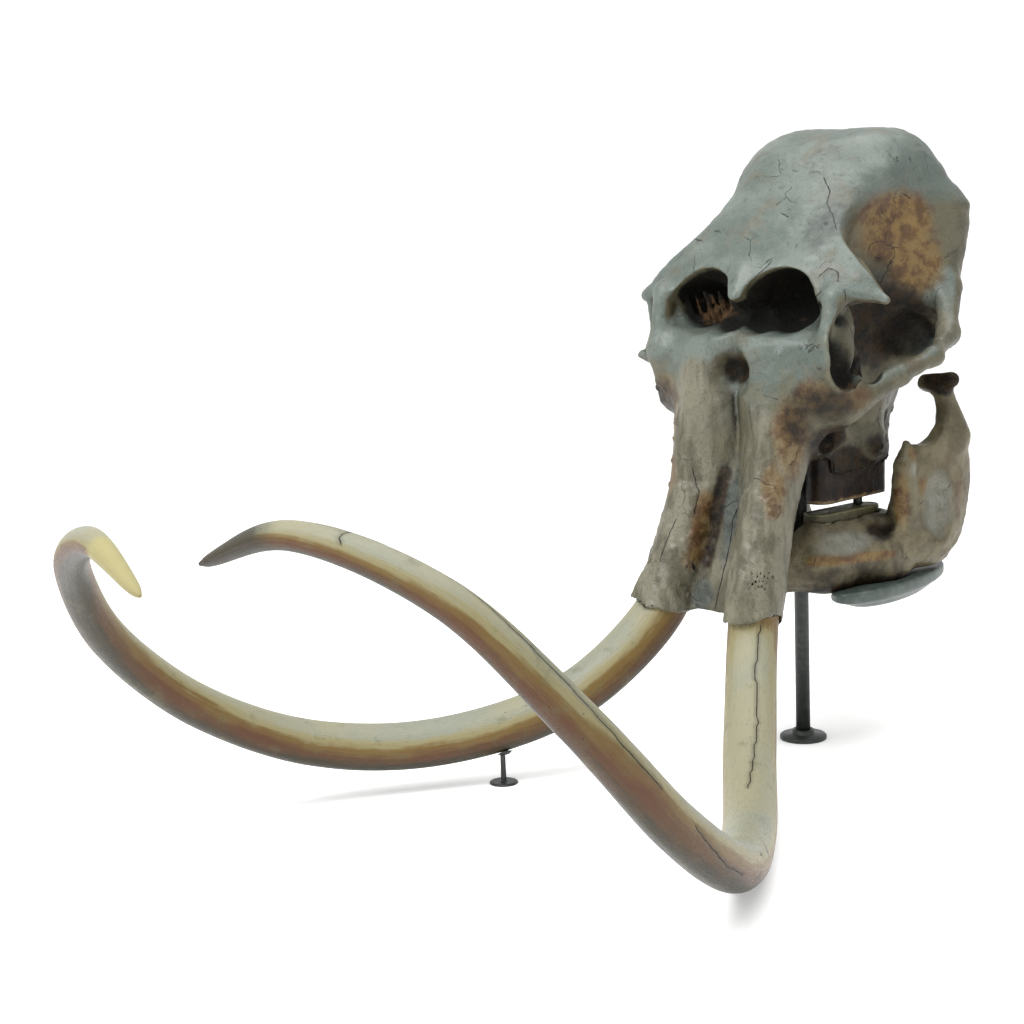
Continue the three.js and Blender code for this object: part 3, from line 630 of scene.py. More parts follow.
# ---------------------------------------------------------------- materials
class Value:
    """One output of a shader node, with Python arithmetic that lays Math nodes."""

    def __init__(self, sheet, socket):
        self.sheet, self.socket = sheet, socket

    def _sum(self, operation, *values):
        return self.sheet.make("ShaderNodeMath", {"operation": operation}, *values)

    def __add__(self, other):
        return self._sum("ADD", self, other)

    def __radd__(self, other):
        return self._sum("ADD", other, self)

    def __sub__(self, other):
        return self._sum("SUBTRACT", self, other)

    def __rsub__(self, other):
        return self._sum("SUBTRACT", other, self)

    def __mul__(self, other):
        return self._sum("MULTIPLY", self, other)

    def __rmul__(self, other):
        return self._sum("MULTIPLY", other, self)

    def __abs__(self):
        return self._sum("ABSOLUTE", self)

    def clamp(self):
        return self.sheet.make("ShaderNodeClamp", {}, self)

    def ramp(self, low, high, out_low=0.0, out_high=1.0):
        smoothly = {"interpolation_type": "SMOOTHSTEP"}
        return self.sheet.make("ShaderNodeMapRange", smoothly, self, low, high, out_low, out_high)

    def ragged(self, *noises):
        """The value with its edge broken up by each (noise, strength)."""
        made = self
        for noise_value, strength in noises:
            made = made + (noise_value - 0.5) * strength
        return made

    def line(self, width):
        """1 where the value is 0, falling to 0 at width on either side."""
        return abs(self).ramp(width, width * 0.25)


class Sheet:
    """A material and the nodes of its Principled shader."""

    def __init__(self, name):
        self.material = bpy.data.materials.new(name)
        self.material.use_nodes = True
        self.tree = self.material.node_tree
        self.shader = next(n for n in self.tree.nodes if n.type == "BSDF_PRINCIPLED")
        self.place = self.make("ShaderNodeTexCoord", {}, out="Object")

    def feed(self, socket, value):
        if isinstance(value, Value):
            self.tree.links.new(value.socket, socket)
        else:
            socket.default_value = value

    def make(self, kind, settings, *values, out=0, **named):
        """A node of any kind; values fill its live inputs in order and named ones by name."""
        node = self.tree.nodes.new(kind)
        for key, value in settings.items():
            setattr(node, key, value)
        live = [s for s in node.inputs if s.enabled]
        for socket, value in zip(live, values):
            self.feed(socket, value)
        for name, value in named.items():
            self.feed(next(s for s in live if s.name == name.replace("_", " ")), value)
        outputs = [s for s in node.outputs if s.enabled]
        return Value(self, node.outputs[out] if isinstance(out, str) else outputs[out])

    def noise(self, scale, detail, rough=0.55, at=None):
        at = at or self.place
        return self.make("ShaderNodeTexNoise", {}, at, Scale=scale, Detail=detail, Roughness=rough)

    def cells(self, scale, feature="F1", at=None):
        return self.make("ShaderNodeTexVoronoi", {"feature": feature}, at or self.place, Scale=scale)

    def value(self, name):
        return self.make("ShaderNodeAttribute", {"attribute_name": name}, out="Fac")

    def join(self, x, y, z):
        return self.make("ShaderNodeCombineXYZ", {}, x, y, z)

    def mix(self, share, a, b):
        return self.make("ShaderNodeMix", {"data_type": "RGBA"}, share, a, b)

    def finish(self, color, roughness, height=None, depth=0.001, strength=1.0, **constants):
        """The material, with a height that turns into relief of this depth in metres."""
        inputs = {"Base Color": color, "Roughness": roughness, **constants}
        if height is not None:
            relief = {"Strength": strength, "Distance": depth, "Height": height}
            inputs["Normal"] = self.make("ShaderNodeBump", {}, **relief)
        for name, value in inputs.items():
            self.feed(self.shader.inputs[name.replace("_", " ")], value)
        return self.material


TONE = 0.47  # share of its display brightness that a surface keeps under the bright studio light
CRACK_WIDTH = 1.7  # mm


def srgb(r, g, b, tone=TONE):
    """A linear colour with full alpha from display values of 0 to 255."""
    linear = [c / 255 / 12.92 if c <= 10 else ((c / 255 + 0.055) / 1.055) ** 2.4 for c in (r, g, b)]
    return (*(tone * c for c in linear), 1.0)


def bone_material(name, brown, plain, slate_share, chilled):
    """Glossy fossil bone: slate where it faces forwards or up, which is a painted sheen, olive and brown
    elsewhere, with painted shade in recesses and hollows and a painted highlight on thin edges.

    brown is the colour of its smudges, plain the pair of colours under the slate, and chilled the pair of its
    cool patches, in places painted light: painted shade where the pair is dark, a painted highlight where it
    is pale.
    """
    s = Sheet(name)
    stain_and_shade, ochre, shade, warm = (s.value(n) for n in ("stain_and_shade", "ochre", "shade", "warm"))
    facing, edge, inner, cold = (s.value(n) for n in ("facing", "edge", "inner", "cold"))
    broad = s.noise(5.0, 3.0)
    blotch = s.noise(13.0, 4.0, 0.6)
    middle = s.noise(34.0, 6.0, 0.62)
    fine = s.noise(120.0, 6.0, 0.65)
    grain = s.noise(420.0, 3.0, 0.6)
    flute = s.noise(24.0, 5.0, 0.6, at=s.make("ShaderNodeMapping", {}, s.place, Scale=(1.0, 1.0, 0.2)))
    slate = s.mix(broad.ramp(0.4, 0.6), srgb(144, 157, 149), srgb(116, 132, 125))
    slate = s.mix(blotch.ramp(0.5, 0.68) * 0.7, slate, srgb(136, 134, 118))
    slate = s.mix(middle.ramp(0.42, 0.3) * 0.55, slate, srgb(84, 94, 88))
    olive = s.mix(blotch.ramp(0.4, 0.6), *plain)
    olive = s.mix(middle.ramp(0.5, 0.68) * 0.6, olive, srgb(140, 132, 104))
    # painted sheen: bone that faces up or forwards turns slate, as if lit by the sky
    slate_sheen = facing.ragged((blotch, 1.2), (middle, 0.5)).ramp(0.2, 0.8) * slate_share
    color = s.mix(slate_sheen, olive, slate)
    taupe = s.mix(flute.ramp(0.4, 0.6), srgb(158, 153, 131), srgb(116, 112, 91))
    color = s.mix(warm.ragged((blotch, 1.3), (flute, 0.5)).ramp(0.25, 0.85), color, taupe)
    gold = s.mix((middle * 0.6 + blotch * 0.4).ramp(0.42, 0.58), srgb(170, 136, 76), srgb(120, 82, 42))
    color = s.mix(ochre.ragged((blotch, 1.0), (middle, 0.8)).ramp(0.2, 1.0) * 0.92, color, gold)
    umber = s.mix(middle.ramp(0.42, 0.6), srgb(60, 43, 22), srgb(22, 19, 11))
    # painted shade as well as the bone's own dark marks: these umber patches darken the temporal fossa, the
    # orbits, under the palate and along the groove of the right sheath
    color = s.mix(stain_and_shade.ragged((blotch, 0.8), (middle, 0.5)).ramp(0.25, 1.05), color, umber)
    # painted light in places: dark cool patches stand in for shade on the skull, pale ones for highlight on
    # the jaw
    chill = s.mix(middle.ramp(0.4, 0.6), *chilled)
    color = s.mix(cold.ragged((blotch, 0.8), (middle, 0.5)).ramp(0.2, 0.9) * 0.9, color, chill)
    # painted highlight: thin edges of bone turn pale buff
    color = s.mix(edge.ragged((fine, 0.5)).ramp(0.3, 0.9) * 0.4, color, srgb(166, 164, 136))
    color = s.mix(grain.ramp(0.3, 0.7) * 0.22, color, srgb(52, 47, 36))
    # painted shade: recesses, where the bone shades itself, turn dark brown and lose their gloss
    recess_shade = shade.ragged((fine, 0.35), (middle, 0.45)).ramp(0.22, 0.8)
    color = s.mix(recess_shade * 0.93, color, srgb(26, 23, 16))
    # painted shade: deep inside the hollows the bone turns near black, or brown where the ochre crust is
    # painted as lit
    lit = ochre.ragged((fine, 1.0), (middle, 2.0)).ramp(0.3, 0.9)
    depths = s.mix(lit, srgb(15, 14, 11), srgb(112, 84, 56))
    color = s.mix(inner.ragged((middle, 0.5)).ramp(0.1, 0.75) * 0.96, color, depths)
    specks = s.cells(110.0).ramp(0.24, 0.06) * fine.ramp(0.52, 0.62)
    pores = s.cells(260.0).ramp(0.3, 0.1) * (warm * 0.6 + 0.25) * middle.ramp(0.42, 0.6)
    smudge = middle.ramp(0.6, 0.72) * broad.ramp(0.42, 0.58)
    color = s.mix(smudge * 0.5, color, brown)
    side = s.value("crack").ragged((s.noise(75.0, 4.0), 9.0))
    crack = side.line(CRACK_WIDTH) * s.value("crack_near") * fine.ramp(0.3, 0.45)
    bent = s.make("ShaderNodeTexNoise", {}, s.place, Scale=16.0, Detail=4.0, out="Color")
    bent = s.make("ShaderNodeVectorMath", {"operation": "MULTIPLY_ADD"}, bent, (0.07, 0.07, 0.07), s.place)
    hairline = s.cells(6.0, "DISTANCE_TO_EDGE", at=bent).ramp(0.008, 0.002)
    lines = (crack + hairline * s.noise(12.0, 2.0).ramp(0.56, 0.62) * 0.6).clamp()
    color = s.mix(fine.ramp(0.46, 0.3) * 0.4, color, srgb(58, 54, 42))
    color = s.mix((specks * 0.75 + pores * 0.6).clamp(), color, srgb(34, 29, 23))
    color = s.mix(lines * 0.97, color, srgb(12, 10, 8))
    height = (blotch * 0.6 + middle * 0.9 + fine * 0.55 + grain * 0.12 + flute * warm * 1.0
              - specks * 0.6 - pores * 0.5 - lines * 2.2)
    rough = (fine.ramp(0.3, 0.7, 0.42, 0.58) + stain_and_shade * 0.06 + inner * 0.3).clamp()
    gloss = (1 - inner * 1.2 - recess_shade * 0.8 - stain_and_shade * 0.5).clamp() * 0.45
    return s.finish(color, rough, height, 0.0045, 1.0,
                    Specular_IOR_Level=0.12, Coat_Weight=gloss, Coat_Roughness=0.36)


def ivory_material():
    """Banded ivory with painted light: a pale grey-green painted sheen on top, tan along the sides and brown
    below going to dark painted shade, with dark cracks.
    """
    s = Sheet("ivory")
    along, ring_x, ring_y = s.value("along"), s.value("ring_x"), s.value("ring_y")
    top, crack, near, tip = s.value("top"), s.value("crack"), s.value("crack_near"), s.value("tip")
    streak = s.noise(4.0, 6.0, 0.62, at=s.join(along * 1.3, ring_x, ring_y))
    grain = s.noise(9.0, 6.0, 0.65, at=s.join(along * 5.0, ring_x * 3.0, ring_y * 3.0))
    broad = s.noise(3.2, 3.0)
    blotch = s.noise(18.0, 4.0, 0.6)
    fine = s.noise(150.0, 5.0, 0.6)
    # painted light: top is how far the ivory faces up, so the bands run from painted shade below to a painted
    # sheen on top
    level = top.ragged((streak, 0.32), (blotch, 0.16))
    color = s.mix(level.ramp(0.14, 0.34), srgb(58, 52, 28), srgb(106, 70, 28))
    color = s.mix(level.ramp(0.34, 0.52), color, srgb(140, 112, 54))
    color = s.mix(level.ramp(0.54, 0.66), color, srgb(178, 168, 122))
    sheen = s.mix(broad.ramp(0.4, 0.6), srgb(170, 173, 153), srgb(182, 178, 146))
    color = s.mix(level.ramp(0.66, 0.8), color, sheen)
    rust = (1 - abs(level - 0.38) * 4.0).clamp() * broad.ramp(0.42, 0.62)
    color = s.mix(rust * 0.7, color, srgb(112, 60, 28))
    color = s.mix(blotch.ramp(0.56, 0.7) * 0.4, color, srgb(112, 112, 76))
    color = s.mix(grain.ramp(0.56, 0.72) * 0.5, color, srgb(84, 72, 44))
    color = s.mix(tip.ragged((blotch, 0.5)).ramp(0.2, 0.6) * 0.9, color, srgb(52, 44, 22))
    color = s.mix((0 - tip).ragged((blotch, 0.5)).ramp(0.2, 0.6) * 0.85, color, srgb(206, 194, 128))
    pits = s.cells(60.0).ramp(0.13, 0.05) * blotch.ramp(0.54, 0.62)
    side = crack.ragged((fine, 3.0), (blotch, 5.0))
    line = side.line(CRACK_WIDTH) * near * grain.ramp(0.36, 0.46)
    color = s.mix(side.line(12.0) * near * 0.3, color, srgb(74, 66, 42))
    color = s.mix((line + pits * 0.8).clamp() * 0.95, color, srgb(24, 19, 12))
    height = streak * 0.9 + grain * 0.6 + blotch * 0.4 + fine * 0.25 - line * 2.6 - pits
    return s.finish(color, grain.ramp(0.3, 0.7, 0.32, 0.48), height, 0.0025, 0.8, Specular_IOR_Level=0.32)


def tooth_material(name, dark, light, bitten):
    """Stained enamel, paler on the face that bites."""
    s = Sheet(name)
    ridge, bite = s.value("ridge"), s.value("bite")
    middle = s.noise(30.0, 5.0, 0.6)
    fine = s.noise(200.0, 5.0, 0.6)
    color = s.mix((middle * 0.7 + s.noise(9.0, 3.0) * 0.3).ramp(0.38, 0.6), dark, light)
    color = s.mix(ridge.ragged((middle, 2.0)).ramp(0.7, 1.1) * 0.12, color, srgb(96, 84, 62))
    color = s.mix(bite.ragged((fine, 1.2), (middle, 1.0)).ramp(0.6, 1.0) * 0.85, color, bitten)
    height = middle * 1.2 + fine * 0.5
    return s.finish(color, fine.ramp(0.3, 0.7, 0.34, 0.5), height, 0.003, 0.8, Specular_IOR_Level=0.2)


def steel_material():
    """Dark blued steel with a little rust."""
    s = Sheet("steel")
    middle = s.noise(60.0, 5.0, 0.6)
    fine = s.noise(600.0, 4.0, 0.6)
    color = s.mix(middle.ramp(0.4, 0.65), srgb(58, 64, 60), srgb(78, 82, 78))
    color = s.mix(middle.ramp(0.66, 0.78) * 0.6, color, srgb(78, 58, 42))
    height = middle * 0.4 + fine * 0.3
    return s.finish(color, fine.ramp(0.3, 0.7, 0.38, 0.52), height, 0.0006, 0.5, Metallic=0.35)


def dish_material():
    """Grey-green paint, rubbed paler in places."""
    s = Sheet("dish_paint")
    middle = s.noise(30.0, 5.0, 0.6)
    fine = s.noise(420.0, 5.0, 0.6)
    color = s.mix(middle.ramp(0.35, 0.65), srgb(78, 92, 86), srgb(102, 116, 109))
    color = s.mix((middle * 0.5 + fine * 0.5).ramp(0.56, 0.68) * 0.7, color, srgb(128, 138, 130))
    return s.finish(color, fine.ramp(0.3, 0.7, 0.32, 0.46), middle * 0.4 + fine * 0.3, 0.001, 0.5)


def floor_material():
    s = Sheet("floor")
    pale, paler = srgb(246, 246, 245, 1), srgb(250, 250, 250, 1)
    glow = {"Emission_Color": (1, 1, 1, 1), "Emission_Strength": 0.2}
    return s.finish(s.mix(s.noise(1.2, 3.0).ramp(0.3, 0.7), pale, paler), 0.9, **glow)


# ---------------------------------------------------------------- bone pieces
BONE_CELL = 6.0
SHADE_REACHES = (18, 45, 95)  # how far out a point looks for bone that shades it
SHELL = 14  # how far under the skin a thin edge shows
FLUTE_DEPTH = 1.4  # of the long grooves down the sheaths
CRACK_DEPTH = 1.6
ROUGH_DEPTH = 10
RELIEF = (-3.5, 2.2)  # the most that the skin sinks and rises


def occlusion(field, points, normals):
    """0 on an open face, towards 1 in a recess."""
    closed = 0
    for reach in SHADE_REACHES:
        closed = closed + np.clip(1 - field(points + normals * reach) / reach, 0, 1.6)
    return closed / len(SHADE_REACHES)


def soft_spots(points, spots):
    """Largest of several soft round patches, each (middle, radii, strength)."""
    total = np.zeros(len(points))
    for middle, radii, strength in spots:
        r = np.linalg.norm((points - np.array(middle, float)) / np.array(radii, float), axis=1)
        total = np.maximum(total, strength * smooth(r, 1.15, 0.35))
    return total


def crack_marks(points, normals, cracks):
    """Signed distance across the nearest crack, and how near it runs, from 0 to 1."""
    across, near = np.full(len(points), 60.0), np.zeros(len(points))
    reach = np.full(len(points), FAR)
    for crack in cracks:
        crack = np.array(crack, float)
        for i, (a, b) in enumerate(zip(crack[:-1], crack[1:])):
            d = b - a
            if not d.any():
                continue
            q = points - a
            t = q @ d / (d @ d)
            held = np.clip(t, 0, 1)
            off = q - held[:, None] * d
            far = np.linalg.norm(off, axis=1)
            sideways = np.cross(d / np.linalg.norm(d), normals)
            sideways /= np.linalg.norm(sideways, axis=1)[:, None] + 1e-9
            closer = far < reach
            reach = np.where(closer, far, reach)
            across = np.where(closer, (off * sideways).sum(1), across)
            past = np.maximum(0, -t) if i == 0 else np.zeros(len(points))
            if i == len(crack) - 2:
                past = np.maximum(past, t - 1)
            fade = smooth(far, 17, 9) * (1 - smooth(past * np.linalg.norm(d), 0, 6))
            near = np.where(closer, fade, near)
    return across, near


def along(start, end, size, strength, count=9):
    """A soft band as a row of patches."""
    start, end = np.array(start, float), np.array(end, float)
    return [(tuple(start + (end - start) * t), size, strength) for t in np.linspace(0, 1, count)]


def both_sides(spots):
    """The patches and their mirror images."""
    return spots + [((-at[0], at[1], at[2]), size, strength) for at, size, strength in spots if at[0]]


def bone_piece(name, field, box, material, seed, patches, cracks=(), whole=None):
    """A bone with its relief.

    whole is its field before it was hollowed, which tells how deep inside the bone a point lies.
    """
    points, quads = skin(field, *box, BONE_CELL)
    points = settle(field, points, BONE_CELL * 0.6)
    normals = surface_normals(points, quads)
    shade = occlusion(field, points, normals)
    # painted highlight: edge is near 1 where the bone is thin, and the material paints it paler there
    behind = field(points - normals * SHELL)
    edge = np.clip(0.88 + behind / SHELL, 0, 1) * smooth(behind, 3, -3)
    # painted sheen: facing is high where the bone faces up or forwards, more so higher up, and the material
    # paints it slate
    facing = smooth(0.6 * normals[:, 2] - 0.8 * normals[:, 1], 0.05, 0.85)
    facing *= 0.4 + 0.6 * smooth(points[:, 2], 900, 1120)
    facing = np.maximum(facing, 0.9 * smooth(points[:, 2], 1340, 1480))  # the crown is slate all round
    # painted shade: inner grows with depth below the unhollowed bone, and the patches that lighten hollows
    # make it weaker
    inner = smooth(-whole(points), 5, 34) if whole else np.zeros(len(points))
    inner *= 1 - soft_spots(points, patches["less_hollow_shade"])
    across, near = crack_marks(points, normals, cracks)
    fluted = soft_spots(points, patches["warm"])
    swell = 2.0 * layered(points, 95, seed, 3) + 1.5 * layered(points, 24, seed + 5, 2) - 2.2
    swell += 1.1 * fluted * (layered(points, 13, seed + 11, 2) - 0.4)
    swell += ROUGH_DEPTH * soft_spots(points, patches["rough"]) * (layered(points, 19, seed + 12, 2) - 0.5)
    swell += FLUTE_DEPTH * fluted * layered(points * (1, 1, 0.22), 30, seed + 8, 2)
    swell -= CRACK_DEPTH * near * smooth(np.abs(across), 7, 1)
    points = points + normals * np.clip(swell, *RELIEF)[:, None]
    piece = place(name, points, quads, material, "bone")
    colors = {kind: soft_spots(points, patches[kind]) for kind in ("stain_and_shade", "ochre", "warm", "cold")}
    mark(piece, shade=shade, **colors, crack=across, crack_near=near, facing=facing, edge=edge, inner=inner)
    return piece


# Patches as (middle, radii, strength): ochre is crust, stain is umber to black, the bone's own dark marks in
# places and painted shade in hollows, under bone and in grooves, warm is fluted taupe bone, cold is cool
# grey, in places painted shade on the skull and a paler painted highlight on the jaw, bared is a hollow whose
# painted shade stays lighter than the others', and rough is broken and pitted.
CRANIUM_PATCHES = {
    "ochre": both_sides([
        ((225, 110, 1345), (120, 170, 125), 1.15), ((250, 170, 1250), (90, 130, 110), 1.0),
        ((182, -300, 860), (56, 90, 150), 0.75), ((225, -262, 955), (80, 90, 60), 0.7),
        ((290, -190, 945), (80, 90, 50), 0.6), ((330, 60, 1010), (60, 160, 30), 0.7),
        ((160, -345, 740), (44, 60, 90), 0.75), ((168, -349, 690), (30, 50, 44), 0.7),
    ]) + [
        *along((-52, -330, 680), (-62, -365, 560), (32, 54, 50), 0.8),
        ((-66, -384, 545), (40, 56, 44), 0.6), ((-125, -150, 1150), (110, 60, 56), 0.8),
    ],
    # umber patches: painted shade in the temporal fossa, the orbits, under the palate and in the groove of
    # the right sheath, with a few of the bone's own dark marks
    "stain_and_shade": both_sides([
        ((205, 80, 1090), (130, 200, 150), 1.7), ((195, 60, 1230), (70, 130, 70), 0.6),
        ((225, -160, 825), (80, 130, 90), 1.5), ((155, -75, 820), (56, 70, 64), 1.8),
        ((224, -50, 1003), (52, 60, 44), 1.9), ((240, -235, 930), (110, 110, 80), 0.8),
        ((198, -285, 900), (60, 80, 110), 0.75), ((187, -180, 800), (60, 70, 90), 1.3),
        ((110, 40, 720), (110, 240, 110), 1.5), ((155, 60, 752), (110, 240, 76), 1.6),
        ((190, -120, 1090), (50, 60, 110), 0.6),
    ]) + [
        ((0, -245, 1012), (74, 50, 56), 1.2), ((-36, -258, 940), (24, 40, 50), 0.8),
        *along((-18, -284, 820), (-24, -296, 750), (26, 34, 50), 0.5),
        *along((-24, -294, 745), (-30, -318, 640), (27, 44, 44), 0.95),
        *along((-30, -318, 640), (-38, -350, 540), (22, 44, 36), 1.0),
        ((205, -110, 815), (60, 80, 50), 1.6),
    ],
    "warm": both_sides([
        ((150, -380, 620), (300, 260, 420), 1.0), ((300, 100, 1050), (110, 330, 190), 0.8),
    ]) + [
        ((-110, -320, 930), (120, 160, 170), 0.9),
    ],
    "cold": both_sides([
        ((226, -176, 1064), (56, 56, 90), 0.55), ((96, 190, 850), (60, 60, 80), 0.7),
    ]) + [
        ((170, -120, 1360), (80, 110, 120), 0.75), ((80, 20, 1500), (70, 100, 90), 0.5),
        ((8, -330, 700), (34, 70, 270), 1.0), ((62, -345, 640), (26, 50, 190), 0.8),
        ((-30, -385, 458), (44, 44, 66), 0.9),
    ],
    "less_hollow_shade": both_sides([
        ((230, -170, 1064), (66, 66, 96), 0.72), ((224, 150, 1046), (110, 200, 120), 0.55),
        ((0, -290, 995), (80, 90, 64), 0.6),
    ]),
    "rough": both_sides([
        ((165, -340, 740), (50, 70, 130), 1.0), ((190, -300, 860), (70, 80, 80), 0.9),
        ((290, -190, 940), (90, 90, 50), 0.7), ((160, 40, 780), (90, 200, 60), 0.8),
        ((0, -290, 960), (80, 80, 60), 0.8), ((100, 230, 850), (80, 80, 100), 0.8),
    ]) + [
        ((-75, -370, 620), (60, 70, 160), 0.9),
    ],
}
CRANIUM_CRACKS = [
    [(111, -34, 1470), (137, -51, 1441), (148, -81, 1412), (180, -102, 1383), (205, -126, 1355)],
    [(214, -211, 1245), (228, -197, 1262), (255, -194, 1252), (262, -206, 1222), (294, -222, 1190)],
    [(-186, 22, 1481), (-176, 12, 1467)], [(40, -120, 1392), (60, -126, 1386)],
    [(237, 140, 1426), (240, 156, 1416)],
    [(74, -322, 930), (74, -337, 848), (45, -330, 745), (14, -313, 639), (17, -353, 544), (13, -388, 428)],
    [(72, -219, 1277), (49, -242, 1246), (31, -253, 1214)], [(235, -234, 1206), (205, -225, 1178)],
    [(-225, -142, 1333), (-205, -152, 1330), (-189, -160, 1328)],
    [(-124, -435, 545), (-118, -425, 590), (-105, -395, 640)],
    [(-82, -351, 764), (-60, -352, 712), (-70, -360, 660)],
]
MANDIBLE_PATCHES = {
    "ochre": both_sides([
        *along((150, -160, 520), (222, 40, 515), (40, 60, 20), 1.0), ((240, 105, 650), (30, 44, 130), 0.9),
        ((246, 158, 762), (26, 30, 34), 0.8), ((270, 262, 745), (40, 80, 60), 0.4),
        ((263, 180, 675), (26, 26, 40), 0.8), ((285, 320, 640), (30, 60, 150), 0.5),
    ]),
    # umber patches: painted shade under the jaw, in the pit behind the teeth and under the jaw joint
    "stain_and_shade": both_sides([
        ((150, 40, 436), (180, 300, 52), 1.1), ((190, -40, 474), (120, 270, 46), 0.75),
        ((280, 240, 480), (80, 160, 40), 0.4), ((206, 65, 575), (46, 60, 50), 1.3),
        ((262, 290, 945), (80, 70, 55), 1.7), ((110, 20, 560), (60, 190, 30), 0.8),
    ]),
    "warm": both_sides([
        ((240, 200, 600), (120, 240, 260), 0.3),
    ]),
    "cold": both_sides([
        ((184, -70, 558), (90, 140, 40), 0.85), ((270, 232, 622), (60, 80, 120), 0.8),
        ((254, 148, 724), (20, 26, 30), 0.8),
    ]),
    "less_hollow_shade": [],
    "rough": both_sides([
        ((245, 110, 620), (40, 50, 170), 1.0), ((270, 200, 510), (60, 130, 60), 0.9),
        ((250, 160, 750), (50, 60, 60), 0.8),
    ]),
}


# ---------------------------------------------------------------- tusks
TUSK_RINGS = 420
TUSK_COLUMNS = 72
TUSK_INSET = 1.2
TUSK_SWELL = 1.3
SWELL_ROOM = 1.0  # that keeps the swell within the tusk's own taper
TUSK_CRACK_DEPTH = 1.2
TUSK_SEEDS = {"left": 31, "right": 67}
# Cracks as (share of the length from the root, degrees round the tusk).
TUSK_CRACKS = {
    "left": [[(0.883, 166), (0.85, 158), (0.81, 156), (0.793, 158), (0.76, 176), (0.73, 184), (0.695, 188),
              (0.657, 199), (0.612, 202)],
             [(0.567, 206), (0.545, 216), (0.514, 228), (0.486, 226)], [(0.457, 226), (0.447, 214)],
             [(0.861, 230), (0.865, 205), (0.862, 170)],
             [(0.10, 129), (0.15, 121), (0.21, 128), (0.26, 116), (0.3, 105)],
             [(0.438, 176), (0.436, 172)], [(0.413, 176), (0.411, 171)]],
    "right": [],
}


def tusk_piece(side, material):
    """Rings along the tusk's line, with a low swell and its cracks cut in."""
    line, length = tusk_line(side, TUSK_RINGS)
    ahead = np.gradient(line, axis=0)
    ahead /= np.linalg.norm(ahead, axis=1)[:, None]
    across = np.zeros_like(line)
    sideways = np.cross(ahead[0], (0, 0, 1))
    for i, a in enumerate(ahead):
        sideways = sideways - a * (sideways @ a)
        sideways /= np.linalg.norm(sideways)
        across[i] = sideways
    upward = np.cross(across, ahead)
    turn = np.linspace(0, 2 * math.pi, TUSK_COLUMNS, endpoint=False)
    share = np.linspace(0, 1, TUSK_RINGS + 1)
    radius = TUSK_RADIUS * tusk_taper(share) - TUSK_INSET
    spoke = np.cos(turn)[None, :, None] * across[:, None] + np.sin(turn)[None, :, None] * upward[:, None]
    straight = (share[:, None] * length / 6, 60 * np.cos(turn), 60 * np.sin(turn))
    straight = np.stack(np.broadcast_arrays(*straight), -1).reshape(-1, 3)
    swell = TUSK_SWELL * layered(straight, 60, TUSK_SEEDS[side], 3).reshape(len(share), -1)
    reach = radius[:, None] + swell * (radius / TUSK_RADIUS)[:, None] - SWELL_ROOM
    rings = line[:, None] + spoke * reach[..., None]
    points = rings.reshape(-1, 3)
    faces = band(TUSK_RINGS + 1, TUSK_COLUMNS) + fans(TUSK_RINGS + 1, TUSK_COLUMNS)
    points = np.vstack([points, line[0] - ahead[0] * 2, line[-1] + ahead[-1] * 5])
    normals = np.vstack([spoke.reshape(-1, 3), -ahead[:1], ahead[-1:]])
    cracks = []
    for crack in TUSK_CRACKS[side]:
        place_along, angle = np.array(crack, float).T
        fine = np.linspace(0, len(crack) - 1, 2 * max(2, int(np.ptp(place_along) * 90)))
        ring = np.interp(fine, range(len(crack)), place_along) * TUSK_RINGS
        column = np.interp(fine, range(len(crack)), angle) / 360 * TUSK_COLUMNS
        cracks.append(rings[ring.round().astype(int), column.round().astype(int) % TUSK_COLUMNS])
    across_crack, near = crack_marks(points, normals, cracks)
    points -= normals * (TUSK_CRACK_DEPTH * near * smooth(np.abs(across_crack), 6, 1))[:, None]
    piece = place(f"tusk_{side}", points, faces, material, "ivory")

    def layer(values):
        """Values on all rings, with the mean of the first and the last ring at the two ends."""
        values = np.broadcast_to(values, reach.shape)
        return np.r_[values.reshape(-1), values[0].mean(), values[-1].mean()]

    tip = smooth(share, 0.88, 0.97) * SIDES[side]  # dark on the left tusk, pale on the right
    # top is how far each point faces up, which the ivory turns into painted sheen and painted shade
    mark(piece, along=layer(share[:, None] * length * MM), ring_x=layer(np.cos(turn)),
         ring_y=layer(np.sin(turn)), top=layer(0.5 + 0.5 * spoke[..., 2]), crack=across_crack,
         crack_near=near, tip=layer(tip[:, None]))
    return piece


# ---------------------------------------------------------------- molars
PLATE_STEP = 15.0  # from one enamel plate to the next
PLATE_RELIEF = 2.4
CROWN_INSET = 1.6
CAP_INSET = 2.2
CAP_RINGS = 14
MOLAR_COLUMNS = 240


